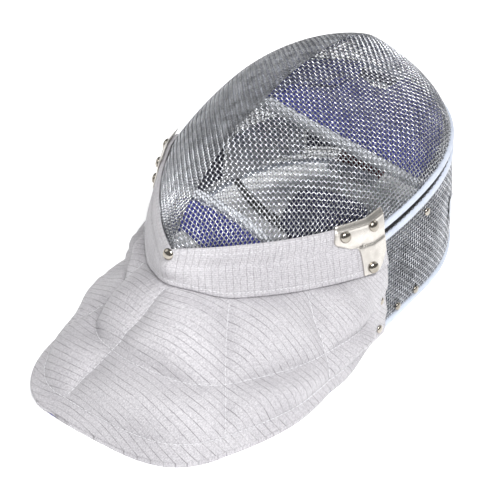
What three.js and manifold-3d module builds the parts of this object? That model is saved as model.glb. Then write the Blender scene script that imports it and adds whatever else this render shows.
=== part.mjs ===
// Fencing mask lying face up on its bib and on the rear rim of its cage.
//
// Millimetres, +Z up. The wearer's left is +X, the chin points to -Y and the crown to +Y.
// The face mesh is a bent sheet between a centre ridge and a rim. Every other piece follows
// that sheet, the rim or one of the two outlines where the mask meets the surface it lies on.

import * as THREE from 'three';
import { mergeVertices } from 'three/addons/utils/BufferGeometryUtils.js';
import Module from 'manifold-3d';

const wasm = await Module();
wasm.setup();

// ---------------------------------------------------------------- driving dimensions
const CAGE_HALF_WIDTH = 105;      // widest half width of the rim, behind the brackets
const BRACKET_HALF_WIDTH = 98;    // half width of the rim at the bracket line, y = 0
const CROWN_DEPTH = 187;          // bracket line to crown
const CHIN_DEPTH = 127;           // bracket line to chin
const WIDEST_DEPTH = 70;          // bracket line to the widest place of the rim
const RIM_HEIGHT = 86;            // rim above the resting surface, at the bracket line
const CROWN_RISE = 24;            // rim rises this much more at the crown
const CHIN_RISE = 12;             // and this much at the chin
const RIDGE_HEIGHT = 101;         // top of the centre ridge above the rim
const MESH_THICKNESS = 2;         // two woven wires

const REAR_HALF_WIDTH = 111.5;    // rear rim on the surface
const REAR_DEPTH = 194;           // bracket line to the back of the rear rim
const REAR_STRAIGHT = 65;         // length of the straight sides of the rear rim
const WALL_BULGE = 2;             // back wall swells by this half way up

const HEM_HALF_WIDTH = 114;       // bib hem on the surface
const HEM_DEPTH = 228;            // bracket line to the front of the hem
const HEM_BACK = 3;               // hem ends this far behind the bracket line
const HEM_HEIGHT = 3;             // folded hem
const BIB_TOP_BACK = 11;          // the bib's top ends this far behind the bracket line
const BIB_PUFF = 6;               // quilting swells by this between two seams
const BIB_SKIN = 1.7;             // outer cloth
const BIB_WADDING = 4;            // wadding under the cloth, at a seam
const LINING = 1.2;               // inner cloth
const SEAM_SHARES = [0.3, 0.65];  // quilting seams beside the middle one, as shares of half the hem

const COLLAR_ABOVE = 18;          // collar band above the rim
const COLLAR_BELOW = 26;          // and below it, at the sides
const COLLAR_BELOW_CHIN = 17;     // and at the chin
const COLLAR_FLARE = 7;           // the collar leans out by this at its lower edge
const COLLAR_THICKNESS = 2.5;

const BAND_WIDTH = 6;             // edge bands of both meshes
const BAND_THICKNESS = 1.5;
const RIM_GAP = 4;                // open gap between the two bands
const TRIM_HEIGHT = 4;            // trim on the rear rim

const PLATE = 1.2;                // bracket sheet
const BRACKET_ABOVE = 21;         // bracket above the rim
const BRACKET_BELOW = 24;         // tip of its leg below the rim
const BRACKET_FRONT = 36;         // bracket ahead of the bracket line, along the rim
const BRACKET_BACK = 12;          // and behind it
const BRACKET_LEAN = 0.15;        // and its leg leans forward by this share of its depth
const BRACKET_LIP = 6;            // least height of the plate below the rim, at its front

const RIVET_RADIUS = 4.6;         // bracket and chin rivets
const SMALL_RIVET_RADIUS = 3.4;   // rivets of the bib edge and the rear rim
const SHANK_RADIUS = 1.4;
const HOLE_CLEARANCE = 0.5;

const PAD_THICKNESS = 8;          // forehead and chin pads
const CHEEK_THICKNESS = 10;
const REAR_PAD_THICKNESS = 9;
const BINDING_WIDTH = 8;
const BINDING_EXTRA = 1;          // a binding stands this far past its pad
const PAD_RIM_MARGIN = 11;        // face pads keep this far above the rim
const PAD_HANG = 30;              // the forehead pad hangs this far inside the mesh over the head
const PAD_HANG_FRONT = 5;         // and this far at its front edge

const TONGUE_WIDTH = 28;
const TONGUE_SHEET = 1.4;
const TONGUE_PAD_WIDTH = 46;
const TONGUE_PAD_THICKNESS = 8;
const STRAP_WIDTH = 13;
const STRAP_THICKNESS = 2;

const GAP = 0.3;                  // clearance between pieces that touch
const SHEET_GAP = 0.6;            // clearance between curved sheets that lie on each other
const DRILL_LENGTH = 24;
const TAIL_GAP = 0.9;             // clearance under a rivet's flat tail
const TINY = 1e-3;

// ---------------------------------------------------------------- small helpers
const { lerp, smoothstep, clamp } = THREE.MathUtils;
const at = (x, y, z) => new THREE.Vector3(x, y, z);
const UP = at(0, 0, 1);

/** A polyline that is read by its share of length. */
class Line {
  constructor(points) {
    this.points = points;
    this.lengths = [0];
    for (let i = 1; i < points.length; i += 1) {
      this.lengths.push(this.lengths[i - 1] + points[i].distanceTo(points[i - 1]));
    }
    this.length = this.lengths[points.length - 1];
  }

  at(share) {
    const target = clamp(share, 0, 1) * this.length;
    let i = 1;
    while (i < this.lengths.length - 1 && this.lengths[i] < target) i += 1;
    const span = this.lengths[i] - this.lengths[i - 1];
    const step = span > 0 ? (target - this.lengths[i - 1]) / span : 0;
    return this.points[i - 1].clone().lerp(this.points[i], step);
  }

  /** Share of length at which the given measure of a point first reaches a value. */
  shareWhere(measure, value) {
    let low = 0;
    let high = 1;
    for (let i = 0; i < 30; i += 1) {
      const mid = (low + high) / 2;
      if (measure(this.at(mid)) < value) low = mid;
      else high = mid;
    }
    return (low + high) / 2;
  }
}

/** Points of a formula, as a line. */
function traced(steps, formula) {
  return new Line(Array.from({ length: steps + 1 }, (_, i) => formula(i / steps)));
}

const mirrored = (point, side) => at(point.x * side, point.y, point.z);

// ---------------------------------------------------------------- outlines, +X half
const collarLine = traced(40, (u) => {
  const forward = 1 - (0.7 * u + 0.3 * u ** 3);
  return at(BRACKET_HALF_WIDTH * u, -CHIN_DEPTH * forward, RIM_HEIGHT + CHIN_RISE * forward ** 1.6);
});

const seamLine = traced(60, (u) => {
  const lead = 0.2;
  const widening = CAGE_HALF_WIDTH - BRACKET_HALF_WIDTH;
  if (u < lead) {
    const y = WIDEST_DEPTH * (u / lead);
    const x = CAGE_HALF_WIDTH - widening * (1 - u / lead) ** 2;
    return at(x, y, RIM_HEIGHT + CROWN_RISE * (y / CROWN_DEPTH));
  }
  const angle = ((u - lead) / (1 - lead)) * (Math.PI / 2);
  const power = 2 / 2.3;
  const y = WIDEST_DEPTH + (CROWN_DEPTH - WIDEST_DEPTH) * Math.sin(angle) ** power;
  const x = CAGE_HALF_WIDTH * Math.max(Math.cos(angle), 0) ** power;
  return at(x, y, RIM_HEIGHT + CROWN_RISE * (y / CROWN_DEPTH));
});

const rimLine = new Line([...collarLine.points.slice(0, -1), ...seamLine.points]);

// Centre ridge: forward and back shares of the depths, height shares of RIDGE_HEIGHT.
const RIDGE_FRONT = [[0.953, 0.267], [0.858, 0.455], [0.709, 0.614], [0.394, 0.822], [0.04, 0.94]];
const RIDGE_REAR = [[0.24, 1], [0.508, 0.97], [0.749, 0.851], [0.925, 0.594]];
const ridgeCurve = new THREE.CatmullRomCurve3([
  at(0, -CHIN_DEPTH, RIM_HEIGHT + CHIN_RISE),
  ...RIDGE_FRONT.map(([y, z]) => at(0, -CHIN_DEPTH * y, RIM_HEIGHT + RIDGE_HEIGHT * z)),
  ...RIDGE_REAR.map(([y, z]) => at(0, CROWN_DEPTH * y, RIM_HEIGHT + RIDGE_HEIGHT * z)),
  at(0, CROWN_DEPTH, RIM_HEIGHT + CROWN_RISE),
], false, 'centripetal');
const ridgeLine = new Line(ridgeCurve.getSpacedPoints(160));

const hemLine = traced(60, (u) => {
  const angle = u * (Math.PI / 2);
  const power = 2 / 3.8;
  const x = HEM_HALF_WIDTH * Math.sin(angle) ** power;
  const y = HEM_BACK - (HEM_DEPTH + HEM_BACK) * Math.max(Math.cos(angle), 0) ** power;
  return at(x, y, 0);
});

const REAR_FRONT = -18;           // the back mesh starts here, under the bib's edge
const rearLine = traced(60, (u) => {
  const lead = 0.3;
  if (u < lead) return at(REAR_HALF_WIDTH, lerp(REAR_FRONT, REAR_STRAIGHT, u / lead), 0);
  const angle = ((u - lead) / (1 - lead)) * (Math.PI / 2);
  const power = 2 / 2.1;
  const y = REAR_STRAIGHT + (REAR_DEPTH - REAR_STRAIGHT) * Math.sin(angle) ** power;
  return at(REAR_HALF_WIDTH * Math.max(Math.cos(angle), 0) ** power, y, 0);
});

// ---------------------------------------------------------------- face surface
const sections = new Map();

/** Cross section of the face sheet from ridge to rim, at a share of both. */
function section(share) {
  const key = share.toFixed(6);
  if (!sections.has(key)) {
    const ridge = ridgeLine.at(share);
    const rim = rimLine.at(share);
    const fold = 0.9 * (1 - smoothstep(share, 0.3, 1));
    const fullness = 1.05 + 0.45 * smoothstep(share, 0.25, 0.6);
    sections.set(key, traced(24, (u) => {
      const angle = u * (Math.PI / 2);
      const across = Math.sin(angle) ** fullness;
      const round = 1 - Math.cos(angle);
      const down = lerp(round, 0.5 * (across + round), fold);
      return at(rim.x * across, lerp(ridge.y, rim.y, down), lerp(ridge.z, rim.z, down));
    }));
  }
  return sections.get(key);
}

/** Face point: share from chin to crown, and signed share from ridge (0) to rim (1). */
function facePoint(share, side) {
  return mirrored(section(share).at(Math.abs(side)), Math.sign(side) || 1);
}

const sectionLength = (share) => section(share).length;

/** Shares near the chin and the crown where a section is as long as a height. */
function endShares(height) {
  let chin = [0, 0.3];
  let crown = [0.7, 1];
  for (let i = 0; i < 16; i += 1) {
    const midChin = (chin[0] + chin[1]) / 2;
    const midCrown = (crown[0] + crown[1]) / 2;
    chin = sectionLength(midChin) < height ? [midChin, chin[1]] : [chin[0], midChin];
    crown = sectionLength(midCrown) > height ? [midCrown, crown[1]] : [crown[0], midCrown];
  }
  return [chin[0], crown[0]];
}

const endCache = new Map();

/** Point on the face sheet, a height above the rim, at a signed rim share. */
function aboveRim(signed, height) {
  const key = height.toFixed(3);
  if (!endCache.has(key)) endCache.set(key, endShares(Math.max(height, 0)));
  const [first, last] = endCache.get(key);
  const share = lerp(first, last, Math.abs(signed));
  const side = 1 - clamp(height / sectionLength(share), 0, 1);
  return mirrored(section(share).at(side), Math.sign(signed) || 1);
}

/** Outward direction in plan at a signed rim share. */
function rimOutward(signed) {
  const share = Math.abs(signed);
  const before = rimLine.at(Math.max(share - 0.01, 0));
  const after = rimLine.at(Math.min(share + 0.01, 1));
  if (share < 0.01) before.x = -after.x;
  const along = after.sub(before).setZ(0).normalize();
  return mirrored(along.cross(UP), Math.sign(signed) || 1);
}

/** Collar height below the rim at a signed rim share. */
const collarDepth = (signed) => (
  lerp(COLLAR_BELOW_CHIN, COLLAR_BELOW, smoothstep(Math.abs(signed), 0, 0.12)));

/** Point below the rim by a depth, leaning outward as the collar does. */
function belowRim(signed, depth, outward = 0) {
  const lean = (COLLAR_FLARE * depth) / COLLAR_BELOW + outward;
  const point = mirrored(rimLine.at(Math.abs(signed)), Math.sign(signed) || 1);
  return point.addScaledVector(rimOutward(signed), lean).addScaledVector(UP, -depth);
}

/** Height above (or, negative, below) the rim on the cage's side. */
const aroundRim = (signed, height) => (
  height >= 0 ? aboveRim(signed, height) : belowRim(signed, -height));

const rimShareAtY = (y) => rimLine.shareWhere((point) => point.y, y);
const BRACKET_SHARE = collarLine.length / rimLine.length;
const BIB_END = rimShareAtY(BIB_TOP_BACK);

// ---------------------------------------------------------------- bib surface
const COLLAR_FOOT = 0.8;          // share of the bib's height that lies below the collar
const BIB_TOP_DROP = 3;           // the bib starts this far below the rim
const PAD_LIMIT = 0.85;           // the wadding stops here, short of the bib's edges
const MID_SEAM = 0.5;             // ring seam, as a share of the part below the collar
const seamStops = [-1, ...SEAM_SHARES.map((s) => -s).reverse(), 0, ...SEAM_SHARES, 1];

/** Swelling between stops: nothing at a stop, one half way. */
function between(value, stops) {
  let i = 1;
  while (i < stops.length - 1 && value > stops[i]) i += 1;
  return Math.sin(Math.PI * clamp((value - stops[i - 1]) / (stops[i] - stops[i - 1]), 0, 1));
}

/** Quilting height at a signed share across and a share up from the hem. */
function puff(signed, up) {
  const low = clamp(up / COLLAR_FOOT, 0, 1);
  const swell = between(signed, seamStops) * between(low, [0, MID_SEAM, 1]);
  const edge = 1 - smoothstep(Math.abs(signed), PAD_LIMIT - 0.02, PAD_LIMIT + 0.07);
  return BIB_PUFF * edge * Math.max(swell, 0) ** 0.7;
}

/** Bib point under its quilting: signed share across, share up from the hem. */
function bibPoint(signed, up) {
  const rim = signed * BIB_END;
  if (up > COLLAR_FOOT) {
    const rise = (up - COLLAR_FOOT) / (1 - COLLAR_FOOT);
    return belowRim(rim, lerp(collarDepth(rim), BIB_TOP_DROP, rise), GAP + BIB_SKIN);
  }
  const foot = belowRim(rim, collarDepth(rim), GAP + BIB_SKIN);
  const hem = mirrored(hemLine.at(Math.abs(signed)), Math.sign(signed) || 1);
  hem.z = HEM_HEIGHT + GAP + BIB_SKIN;
  return hem.lerp(foot, up / COLLAR_FOOT);
}

// ---------------------------------------------------------------- back wall
const WALL_TOP_DROP = RIM_GAP + BAND_WIDTH / 2;
const BACK_TOP_START = rimShareAtY(-2);

/** Back wall: side runs from 1 on the left over the crown (0) to -1, up from the surface. */
function wallPoint(side, up) {
  const low = rearLine.at(1 - Math.abs(side));
  const high = rimLine.at(1 - Math.abs(side) * (1 - BACK_TOP_START));
  low.z = 2 * GAP;

  high.z -= WALL_TOP_DROP;
  const point = mirrored(low.lerp(high, up), Math.sign(side) || 1);
  const outward = at(point.x, Math.max(point.y - REAR_STRAIGHT, 0), 0).normalize();
  const swell = WALL_BULGE * smoothstep(point.y, 10, REAR_STRAIGHT);
  return point.addScaledVector(outward, swell * Math.sin(Math.PI * up));
}

/** Wall side share at a rear rim y. */
const wallSideAtY = (y) => 1 - rearLine.shareWhere((point) => point.y, y);

// ---------------------------------------------------------------- solids
/** Unit normal of a patch whose u runs right and v runs up when seen from outside. */
function normalAt(point, u, v) {
  const along = point(Math.min(u + TINY, 1), v).sub(point(Math.max(u - TINY, 0), v));
  const upward = point(u, Math.min(v + TINY, 1)).sub(point(u, Math.max(v - TINY, 0)));
  return along.cross(upward).normalize();
}

/** Closed plate over a patch, between two offsets along the patch's normal. */
function plate(point, columns, rows, low, high) {
  const value = (offset, u, v) => (typeof offset === 'function' ? offset(u, v) : offset);
  const positions = [];
  for (const offset of [low, high]) {
    for (let i = 0; i <= columns; i += 1) {
      for (let j = 0; j <= rows; j += 1) {
        const u = i / columns;
        const v = j / rows;
        const place = point(u, v).addScaledVector(normalAt(point, u, v), value(offset, u, v));
        positions.push(place.x, place.y, place.z);
      }
    }
  }
  const layer = (columns + 1) * (rows + 1);
  const inner = (i, j) => i * (rows + 1) + j;
  const outer = (i, j) => layer + inner(i, j);
  const index = [];
  const quad = (a, b, c, d) => index.push(a, b, c, a, c, d);
  for (let i = 0; i < columns; i += 1) {
    for (let j = 0; j < rows; j += 1) {
      quad(outer(i, j), outer(i + 1, j), outer(i + 1, j + 1), outer(i, j + 1));
      quad(inner(i, j), inner(i, j + 1), inner(i + 1, j + 1), inner(i + 1, j));
    }
    quad(inner(i, 0), inner(i + 1, 0), outer(i + 1, 0), outer(i, 0));
    quad(outer(i, rows), outer(i + 1, rows), inner(i + 1, rows), inner(i, rows));
  }
  for (let j = 0; j < rows; j += 1) {
    quad(inner(0, j + 1), inner(0, j), outer(0, j), outer(0, j + 1));
    quad(inner(columns, j), inner(columns, j + 1), outer(columns, j + 1), outer(columns, j));
  }
  const geometry = new THREE.BufferGeometry();
  geometry.setAttribute('position', new THREE.Float32BufferAttribute(positions, 3));
  geometry.setIndex(index);
  return geometry;
}

function toManifold(geometry) {
  const bare = geometry.clone();
  bare.deleteAttribute('normal');
  bare.deleteAttribute('uv');
  const merged = mergeVertices(bare, 1e-4);
  const mesh = new wasm.Mesh({
    numProp: 3,
    vertProperties: Float32Array.from(merged.attributes.position.array),
    triVerts: Uint32Array.from(merged.index.array),
  });
  return new wasm.Manifold(mesh);
}

function fromManifold(solid) {
  const mesh = solid.getMesh();
  const geometry = new THREE.BufferGeometry();
  geometry.setAttribute('position', new THREE.BufferAttribute(mesh.vertProperties, 3));
  geometry.setIndex(new THREE.BufferAttribute(mesh.triVerts, 1));
  return geometry;
}

/** Turns +Y of a geometry to a direction and moves it to a place. */
function placed(geometry, place, direction) {
  const turn = new THREE.Quaternion().setFromUnitVectors(at(0, 1, 0), direction);
  return geometry.applyQuaternion(turn).translate(place.x, place.y, place.z);
}

/** Cuts the shank holes of rivets through a geometry. */
function drilled(geometry, rivets) {
  let solid = toManifold(geometry);
  for (const { place, direction } of rivets) {
    const radius = SHANK_RADIUS + HOLE_CLEARANCE;
    const drill = new THREE.CylinderGeometry(radius, radius, DRILL_LENGTH, 6);
    solid = solid.subtract(toManifold(placed(drill, place, direction)));
  }
  return fromManifold(solid);
}

/** Domed rivet: head over the highest sheet, shank, and a flat tail under the lowest one. */
function rivetGeometry({ place, direction, radius, low, high }) {
  const under = high + SHEET_GAP;
  const tail = low - TAIL_GAP;
  const dome = radius * 0.5;
  const profile = [
    [0, tail - 0.8], [radius * 0.65, tail - 0.8], [radius * 0.65, tail], [SHANK_RADIUS, tail],
    [SHANK_RADIUS, under], [radius, under], [radius * 0.7, under + dome * 0.75],
    [0, under + dome],
  ].map(([x, y]) => new THREE.Vector2(x, y));
  return placed(new THREE.LatheGeometry(profile, 8), place, direction);
}

// ---------------------------------------------------------------- materials
const finish = (color, roughness, metalness = 0) => (
  new THREE.MeshStandardMaterial({ color, roughness, metalness }));
const WIRE = finish(0xc9cbcc, 0.3, 1);
const STEEL = finish(0xb5b3ac, 0.35, 1);
const RIVET = finish(0xd2d1cc, 0.18, 1);
const BAND = finish(0xdfe3ec, 0.5);
const LAME = finish(0xd8d9de, 0.65, 0.2);
const WADDING = finish(0xe8e6e0, 0.9);
const BLUE = finish(0x5a62b8, 0.85);
const NAVY = finish(0x2a2c48, 0.9);
const WHITE = finish(0xeceef2, 0.8);
const GREY = finish(0xb9bcc4, 0.85);
const BLACK = finish(0x1c1c1f, 0.8);
const MAROON = finish(0x7a3842, 0.85);

const mask = new THREE.Group();

function add(name, geometry, material) {
  geometry.computeVertexNormals();
  const mesh = new THREE.Mesh(geometry, material);
  mesh.name = name;
  mask.add(mesh);
}

// ---------------------------------------------------------------- rivets and their sheets
const COLLAR_HIGH = SHEET_GAP + COLLAR_THICKNESS;
const BIB_EASE = 0.2;                // play between the cage and the bib's top edge
const BIB_STACK = GAP + BIB_SKIN + BIB_EASE;
/** Extra offset below the rim, where the bib lies between the collar and the cage. */
const overBib = (height) => BIB_STACK * smoothstep(-height, -4, 3);
const bracketLow = (height) => COLLAR_HIGH + SHEET_GAP + overBib(height);

/** Place and direction on a patch, as a rivet. */
function rivetOn(point, u, v, sizes) {
  return { place: point(u, v), direction: normalAt(point, u, v), ...sizes };
}

const SIDES = [['left', 1], ['right', -1]];
const rimShareAlong = (offset) => BRACKET_SHARE + offset / rimLine.length;

/** Side patch around the rim for rivets: u along the rim, v up, centred on the bracket line. */
const SIDE_SPAN = 60;
const sidePatch = (side) => (u, v) => {
  const along = rimShareAlong(side * (u - 0.5) * SIDE_SPAN);
  return aroundRim(side * along, (v - 0.5) * SIDE_SPAN);
};
const sideU = (side, along) => 0.5 + (side * along) / SIDE_SPAN;
const sideV = (height) => 0.5 + height / SIDE_SPAN;

const bracketRivets = {};
const bibRivets = {};
const rearRivets = {};
const CAGE_STACK = MESH_THICKNESS + 3.5;  // the leg's rivet also holds the back mesh
const BRACKET_RIVETS = [['front', -25, 11], ['rear', 1, 12], ['leg', -3, -20]];
const BIB_RIVETS = [['upper', 0.965, 0.4], ['lower', 0.965, 0.06]];
const REAR_RIVETS = [['top', 65, 0.84], ['middle', 52, 0.105], ['front', 25, 0.105]];

for (const [name, side] of SIDES) {
  bracketRivets[name] = BRACKET_RIVETS.map(([, along, height]) => rivetOn(
    sidePatch(side), sideU(side, along), sideV(height),
    { radius: RIVET_RADIUS, low: height > 0 ? -MESH_THICKNESS : -CAGE_STACK,
      high: bracketLow(height) + PLATE },
  ));
  const bibPatch = (u, v) => bibPoint((2 * u - 1), v);
  bibRivets[name] = BIB_RIVETS.map(([, across, up]) => rivetOn(
    bibPatch, (side * across + 1) / 2, up,
    { radius: SMALL_RIVET_RADIUS, low: -BIB_SKIN - CAGE_STACK, high: 0 },
  ));
  const wallPatch = (u, v) => wallPoint(1 - 2 * u, v);
  rearRivets[name] = REAR_RIVETS.map(([, y, up]) => rivetOn(
    wallPatch, (1 - side * wallSideAtY(y)) / 2, up,
    { radius: SMALL_RIVET_RADIUS, low: -MESH_THICKNESS, high: 0 },
  ));
}
const CHIN_PATCH = 0.02;             // reach along the rim read around the chin rivet, as a share
const CHIN_RIVET_UP = 0.36;          // its height, as a share of twice the collar above the rim
const CHIN_SPARE = 1;                // room behind the folded sheet before the tail spreads
const chinRivet = rivetOn((u, v) => aboveRim(CHIN_PATCH * (u - 0.5), COLLAR_ABOVE * 2 * v),
  0.5, CHIN_RIVET_UP,
  { radius: SMALL_RIVET_RADIUS, low: -MESH_THICKNESS - CHIN_SPARE, high: COLLAR_HIGH });

const ROOT_RIVET_UP = 0.8;
const ROOT_RIVET_SPACING = 16;
const rootRivets = SIDES.map(([, side]) => rivetOn(
  (u, v) => wallPoint(1 - 2 * u, v), 0.5 - (side * ROOT_RIVET_SPACING) / 4 / rearLine.length,
  ROOT_RIVET_UP,
  { radius: SMALL_RIVET_RADIUS, low: -MESH_THICKNESS - GAP - TONGUE_SHEET, high: 0 },
));
const allBracketRivets = [...bracketRivets.left, ...bracketRivets.right];
const legRivets = [bracketRivets.left[2], bracketRivets.right[2]];
const allBibRivets = [...bibRivets.left, ...bibRivets.right];
const allRearRivets = [...rearRivets.left, ...rearRivets.right];

for (const [name] of SIDES) {
  BRACKET_RIVETS.forEach(([place], i) => {
    add(`bracket_rivet_${place}_${name}`, rivetGeometry(bracketRivets[name][i]), RIVET);
  });
  BIB_RIVETS.forEach(([place], i) => {
    add(`bib_rivet_${place}_${name}`, rivetGeometry(bibRivets[name][i]), RIVET);
  });
  REAR_RIVETS.forEach(([place], i) => {
    add(`rear_rivet_${place}_${name}`, rivetGeometry(rearRivets[name][i]), RIVET);
  });
}
add('chin_rivet', rivetGeometry(chinRivet), RIVET);

// ---------------------------------------------------------------- cage
const FACE_START = 11.5;          // the sheet starts this far up the ridge from the chin
const FACE_FIRST = FACE_START / ridgeLine.length;
const FACE_LAST = 0.985;
const facePatch = (u, v) => facePoint(lerp(FACE_FIRST, FACE_LAST, v), 2 * u - 1);
add('face_mesh', drilled(plate(facePatch, 20, 26, -MESH_THICKNESS, 0),
  [...allBracketRivets, chinRivet]), WIRE);

const wallPatch = (u, v) => wallPoint(1 - 2 * u, v);
add('back_mesh', drilled(plate(wallPatch, 36, 3, -MESH_THICKNESS, 0),
  [...allBibRivets, ...allRearRivets, ...rootRivets, ...legRivets]), WIRE);

/** Strip that follows the rim over the crown: u from the left, round to the right. */
const crownStrip = (start, low, high) => (u, v) => {
  const signed = 1 - 2 * u;
  const share = 1 - Math.abs(signed) * (1 - start);
  return aboveRim((Math.sign(signed) || 1) * share, lerp(low, high, v));
};
const BAND_START = rimShareAtY(BIB_TOP_BACK + 1);
add('face_rim_band', plate(crownStrip(BAND_START, GAP, BAND_WIDTH), 34, 1,
  SHEET_GAP, SHEET_GAP + BAND_THICKNESS), BAND);

/** Strip of the back wall between two heights, for side shares up to a limit. */
const wallStrip = (limit, low, high) => (u, v) => wallPoint(limit * (1 - 2 * u), lerp(low, high, v));
const wallHeight = RIM_HEIGHT - WALL_TOP_DROP;
const bandFoot = 1 - BAND_WIDTH / wallHeight;
const BAND_LIMIT = (1 - BAND_START) / (1 - BACK_TOP_START);
add('back_rim_band', plate(wallStrip(BAND_LIMIT, bandFoot, 1), 34, 1,
  GAP, GAP + BAND_THICKNESS), BAND);
add('rear_edge_trim', plate(wallStrip(wallSideAtY(HEM_BACK + 1), 0, TRIM_HEIGHT / wallHeight), 34, 1,
  GAP, GAP + BAND_THICKNESS), BAND);

// ---------------------------------------------------------------- collar and bib
const collarOffset = (height) => SHEET_GAP + overBib(height);
const collarHeight = (u, v) => lerp(-collarDepth((2 * u - 1) * BIB_END), COLLAR_ABOVE, v);
const collarPatch = (u, v) => aroundRim((2 * u - 1) * BIB_END, collarHeight(u, v));
add('collar_band', drilled(plate(collarPatch, 34, 6,
  (u, v) => collarOffset(collarHeight(u, v)),
  (u, v) => collarOffset(collarHeight(u, v)) + COLLAR_THICKNESS),
[...allBracketRivets, chinRivet]), LAME);

const bibPatch = (limit, low, high) => (u, v) => bibPoint((2 * u - 1) * limit, lerp(low, high, v));
const quilt = (limit, low, high, offset, swell = 1) => (u, v) => (
  swell * puff((2 * u - 1) * limit, lerp(low, high, v)) + offset);
add('bib_outer', drilled(plate(bibPatch(1, 0, 1), 40, 10, quilt(1, 0, 1, -BIB_SKIN),
  quilt(1, 0, 1, 0)), [...allBibRivets, ...legRivets]), LAME);

const PAD_FOOT = 0.1;
const PAD_HEAD = COLLAR_FOOT - 0.1;
const WAD_SWELL = 0.5;            // share of the quilting that the wadding fills
const wadTop = -BIB_SKIN - 1.3 * SHEET_GAP;
add('bib_wadding', plate(bibPatch(PAD_LIMIT, PAD_FOOT, PAD_HEAD), 34, 6, wadTop - BIB_WADDING,
  quilt(PAD_LIMIT, PAD_FOOT, PAD_HEAD, wadTop, WAD_SWELL)), WADDING);
const liningTop = wadTop - BIB_WADDING - 1.5 * SHEET_GAP;
add('bib_lining', plate(bibPatch(PAD_LIMIT, PAD_FOOT, PAD_HEAD), 24, 3, liningTop - LINING,
  liningTop), BLUE);

const hemPatch = (u, v) => {
  const signed = 2 * u - 1;
  return mirrored(hemLine.at(Math.abs(signed)), Math.sign(signed) || 1).setZ(HEM_HEIGHT * v);
};
const hemWidth = (u) => {
  const thick = BIB_SKIN + BIB_WADDING + LINING + 2 * GAP;
  return -lerp(thick, BIB_SKIN, smoothstep(Math.abs(2 * u - 1), PAD_LIMIT, PAD_LIMIT + 0.04));
};
add('bib_hem', plate(hemPatch, 40, 1, hemWidth, 0), WHITE);

const stripTop = -MESH_THICKNESS - SHEET_GAP;
const CHIN_STRIP_SHARE = 0.8 * BRACKET_SHARE;
const chinStrip = (u, v) => aboveRim((2 * u - 1) * CHIN_STRIP_SHARE, lerp(1, 9, v));
add('chin_edge_strip', plate(chinStrip, 26, 1, stripTop - 1, stripTop), STEEL);

// ---------------------------------------------------------------- brackets
const bracketAlong = (side, u) => (
  side > 0 ? lerp(-BRACKET_FRONT, BRACKET_BACK, u) : lerp(BRACKET_BACK, -BRACKET_FRONT, u));

/** Height at a share up the plate, whose foot is scooped out ahead of its leg. */
function bracketHeight(along, up) {
  const scoop = smoothstep(along, -BRACKET_FRONT, -2);
  return lerp(-lerp(BRACKET_LIP, BRACKET_BELOW, scoop ** 1.5), BRACKET_ABOVE, up);
}

const bracketPatch = (side) => (u, v) => {
  const along = bracketAlong(side, u);
  const height = bracketHeight(along, v);
  return aroundRim(side * rimShareAlong(along + BRACKET_LEAN * height), height);
};
const bracketOffset = (side, extra) => (u, v) => (
  bracketLow(bracketHeight(bracketAlong(side, u), v)) + extra);
for (const [name, side] of SIDES) {
  add(`bracket_${name}`, drilled(plate(bracketPatch(side), 9, 7, bracketOffset(side, 0),
    bracketOffset(side, PLATE)), bracketRivets[name]), STEEL);
}

// ---------------------------------------------------------------- face pads
const PAD_TOP = -MESH_THICKNESS - SHEET_GAP;
const rimSide = (share, margin) => 1 - margin / sectionLength(share);
const FOREHEAD_RIDGE = 0.43;      // lower edge of the forehead pad on the ridge
const FOREHEAD_RIM = 0.555;       // and at the rim
const FOREHEAD_TOP = 0.94;
const CHIN_FIRST = 0.075;
const CHIN_RIDGE = 0.155;
const CHIN_RIM = 0.205;

/** Patch of the face sheet between two edges that are share functions of the side. */
const padPatch = (low, high) => (u, v) => {
  const side = 2 * u - 1;
  const share = lerp(low(Math.abs(side)), high(Math.abs(side)), v);
  return facePoint(share, side * rimSide(share, PAD_RIM_MARGIN));
};
const foreheadEdge = (side) => lerp(FOREHEAD_RIDGE, FOREHEAD_RIM, side ** 1.3);
const chinEdge = (side) => lerp(CHIN_RIDGE, CHIN_RIM, side);
const shareOf = (length) => length / ridgeLine.length;
const shifted = (edge, distance) => (side) => edge(side) + shareOf(distance);

/** Distance inside the mesh: nothing at the rim, most over the head. */
const hang = (u, v) => (
  lerp(PAD_HANG_FRONT, PAD_HANG, smoothstep(v, 0, 0.5)) * (1 - Math.abs(2 * u - 1) ** 4));
add('forehead_pad', plate(padPatch(shifted(foreheadEdge, BINDING_WIDTH / 2 + SHEET_GAP),
  () => FOREHEAD_TOP), 20, 10, (u, v) => PAD_TOP - PAD_THICKNESS - hang(u, v),
(u, v) => PAD_TOP - hang(u, v)), BLUE);
add('forehead_binding', plate(padPatch(shifted(foreheadEdge, -BINDING_WIDTH / 2),
  shifted(foreheadEdge, BINDING_WIDTH / 2)), 20, 1,
(u) => PAD_TOP - PAD_THICKNESS - BINDING_EXTRA - hang(u, 0), (u) => PAD_TOP - hang(u, 0)), WHITE);
add('chin_pad', plate(padPatch(() => CHIN_FIRST, shifted(chinEdge, -BINDING_WIDTH / 2 - 2 * SHEET_GAP)),
  10, 4, PAD_TOP - PAD_THICKNESS, PAD_TOP), BLUE);
add('chin_binding', plate(padPatch(shifted(chinEdge, -BINDING_WIDTH / 2),
  shifted(chinEdge, BINDING_WIDTH / 2)), 10, 1, PAD_TOP - PAD_THICKNESS - BINDING_EXTRA,
PAD_TOP), WHITE);

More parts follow.
